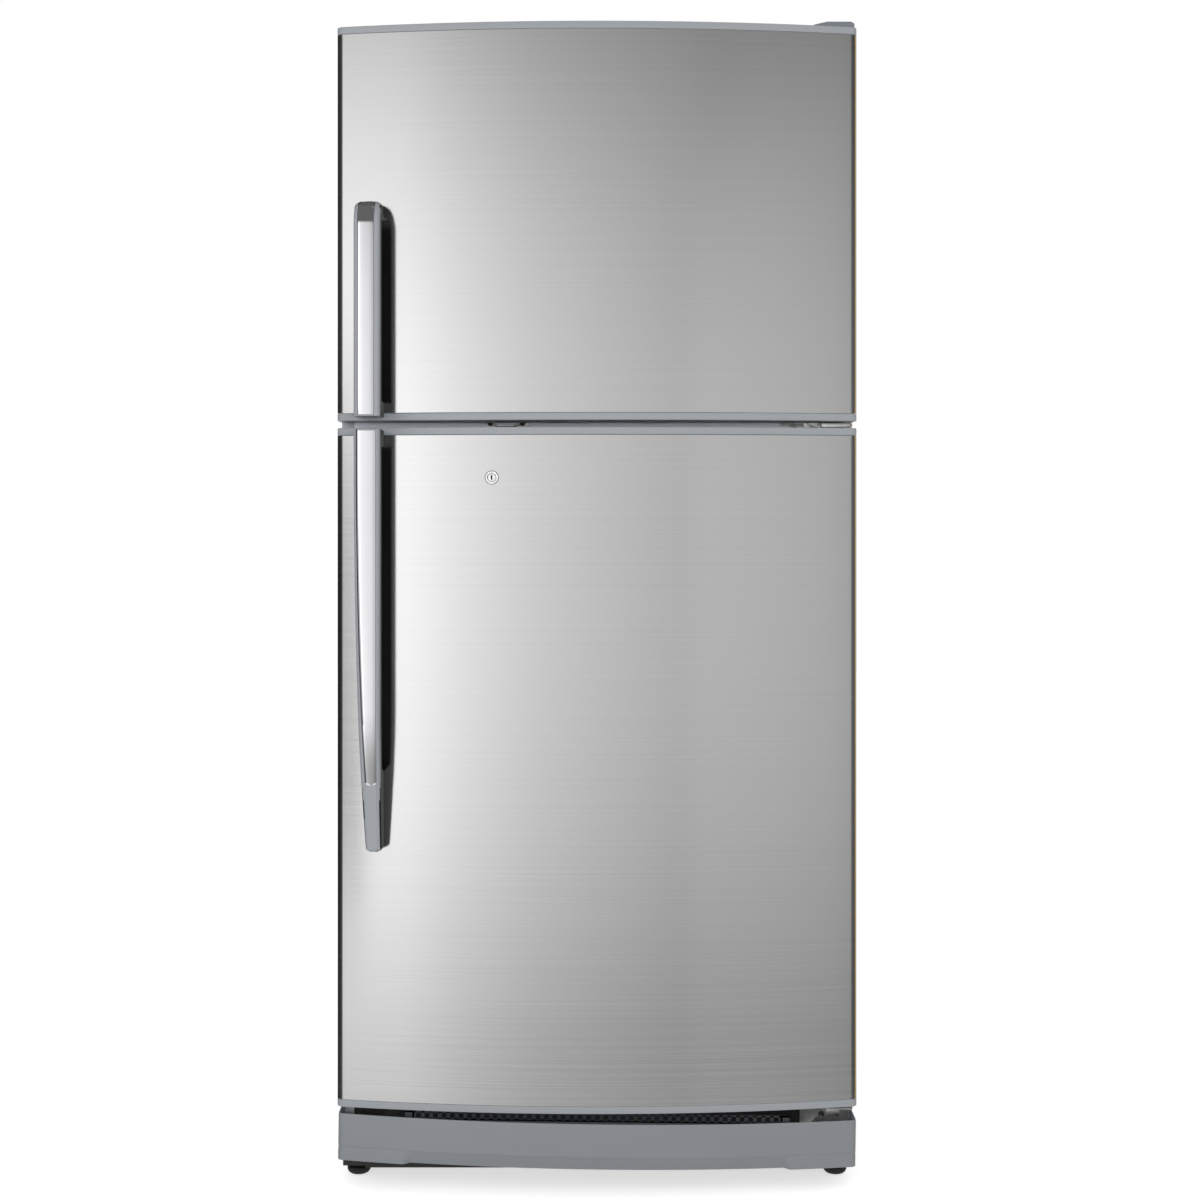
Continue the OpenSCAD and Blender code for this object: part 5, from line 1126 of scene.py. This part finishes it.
def studio():
    """White to the eye, through glass and behind the part; a plain level for everything else.
    In front, what the steel mirrors: a bright wall on the left, a dimmer one on the right past a
    corner, both darker towards floor and ceiling, and dark beyond the sides."""
    world = bpy.data.worlds.new("studio")
    world.use_nodes = True
    bpy.context.scene.world = world
    w = Tree(world.node_tree)
    w.tree.nodes.clear()
    x, y, z = w.parts(w.add("ShaderNodeTexCoord")[0])
    side = x.maths("ARCTAN2", x, 0 - y) * (180 / math.pi)
    wall = w.ramp(side / 360 + 0.5, [(0.0, 0.10), (0.10, 0.03), (0.30, 0.035), (0.37, 0.08), (0.402, 0.25),
                                     (0.412, 1.45), (0.440, 1.34), (0.458, 1.06), (0.480, 0.84), (0.500, 0.72),
                                     (0.529, 0.58), (0.5305, 0.64), (0.556, 0.60), (0.578, 0.54), (0.60, 0.18),
                                     (0.64, 0.10), (0.90, 0.16), (1.0, 0.10)])
    tall = w.ramp(z / 2 + 0.5, [(0.0, 0.40), (0.329, 0.40), (0.345, 0.46), (0.395, 0.80), (0.45, 0.99),
                                (0.535, 1.0), (0.570, 0.93), (0.605, 0.74), (0.635, 0.54), (0.70, 0.15),
                                (1.0, 0.12)])
    crown = ((z - 0.28) * 12).cut(0.0, 1.0)
    ground = ((-0.37 - z) * 14).cut(0.0, 1.0)
    pillar = (side < -26.3) * (z > -0.19) * (z < 0.06)
    ceiling = ((z - 0.165 - (side - 10.6) * 0.0042) * 40).cut(0.0, 1.0) * ((side - 10.6) * 2).cut(0.0, 1.0)
    level = wall * tall * (1 - ceiling * 0.16) * (1 - pillar * 0.62) * (1 - crown) + crown * 0.13
    level = level * (1 - ground) + ground * 0.85
    behind = (abs(side) > 150) * (z < 0.45)
    warm = (side > 98) * (side < 120) * (1 - behind)

    def glow(colour, strength):
        return w.add("ShaderNodeBackground", {}, {"Color": colour, "Strength": strength})[0]

    shine = glow(w.point(1.0, 1 - warm * 0.3, 1 - warm * 0.72), (level + warm * 0.7) * (1 - behind) + behind)
    rest = w.shaders(w.rays("Is Glossy Ray"), glow((1, 1, 1, 1), 0.62), shine)
    seen = w.shaders(w.rays("Is Camera Ray", "Is Transmission Ray"), rest, glow((1, 1, 1, 1), 1.0))
    w.add("ShaderNodeOutputWorld", {}, {"Surface": seen})


def softbox(name, at, toward, wide, high, power):
    light = bpy.data.lights.new(name, "AREA")
    light.shape = "RECTANGLE"
    light.size = wide
    light.size_y = high
    light.energy = power
    obj = shown(name, light)
    obj.location = at
    obj.rotation_euler = (Vector(toward) - Vector(at)).to_track_quat("-Z", "Y").to_euler()
    obj.visible_glossy = False


white_floor()
studio()
softbox("softbox_left", (-2.6, -3.4, 2.4), (0, -0.2, 0.9), 2.0, 2.0, 34)
softbox("softbox_right", (2.6, -2.6, 2.6), (0, 0.0, 0.9), 2.0, 2.0, 14)
softbox("softbox_front", (0.1, -4.4, 1.16), (0, 0.0, 1.1), 1.8, 0.6, 46)

camera = bpy.data.cameras.new("camera")
camera.lens = 55.3
camera.sensor_width = 36
camera.shift_x = 0.0025
camera.shift_y = -0.064
holder = shown("camera", camera)
holder.location = (0, -3.000, 0.974)
holder.rotation_euler = (math.pi / 2, 0, 0)
bpy.context.scene.camera = holder
bpy.context.scene.view_settings.view_transform = "Standard"
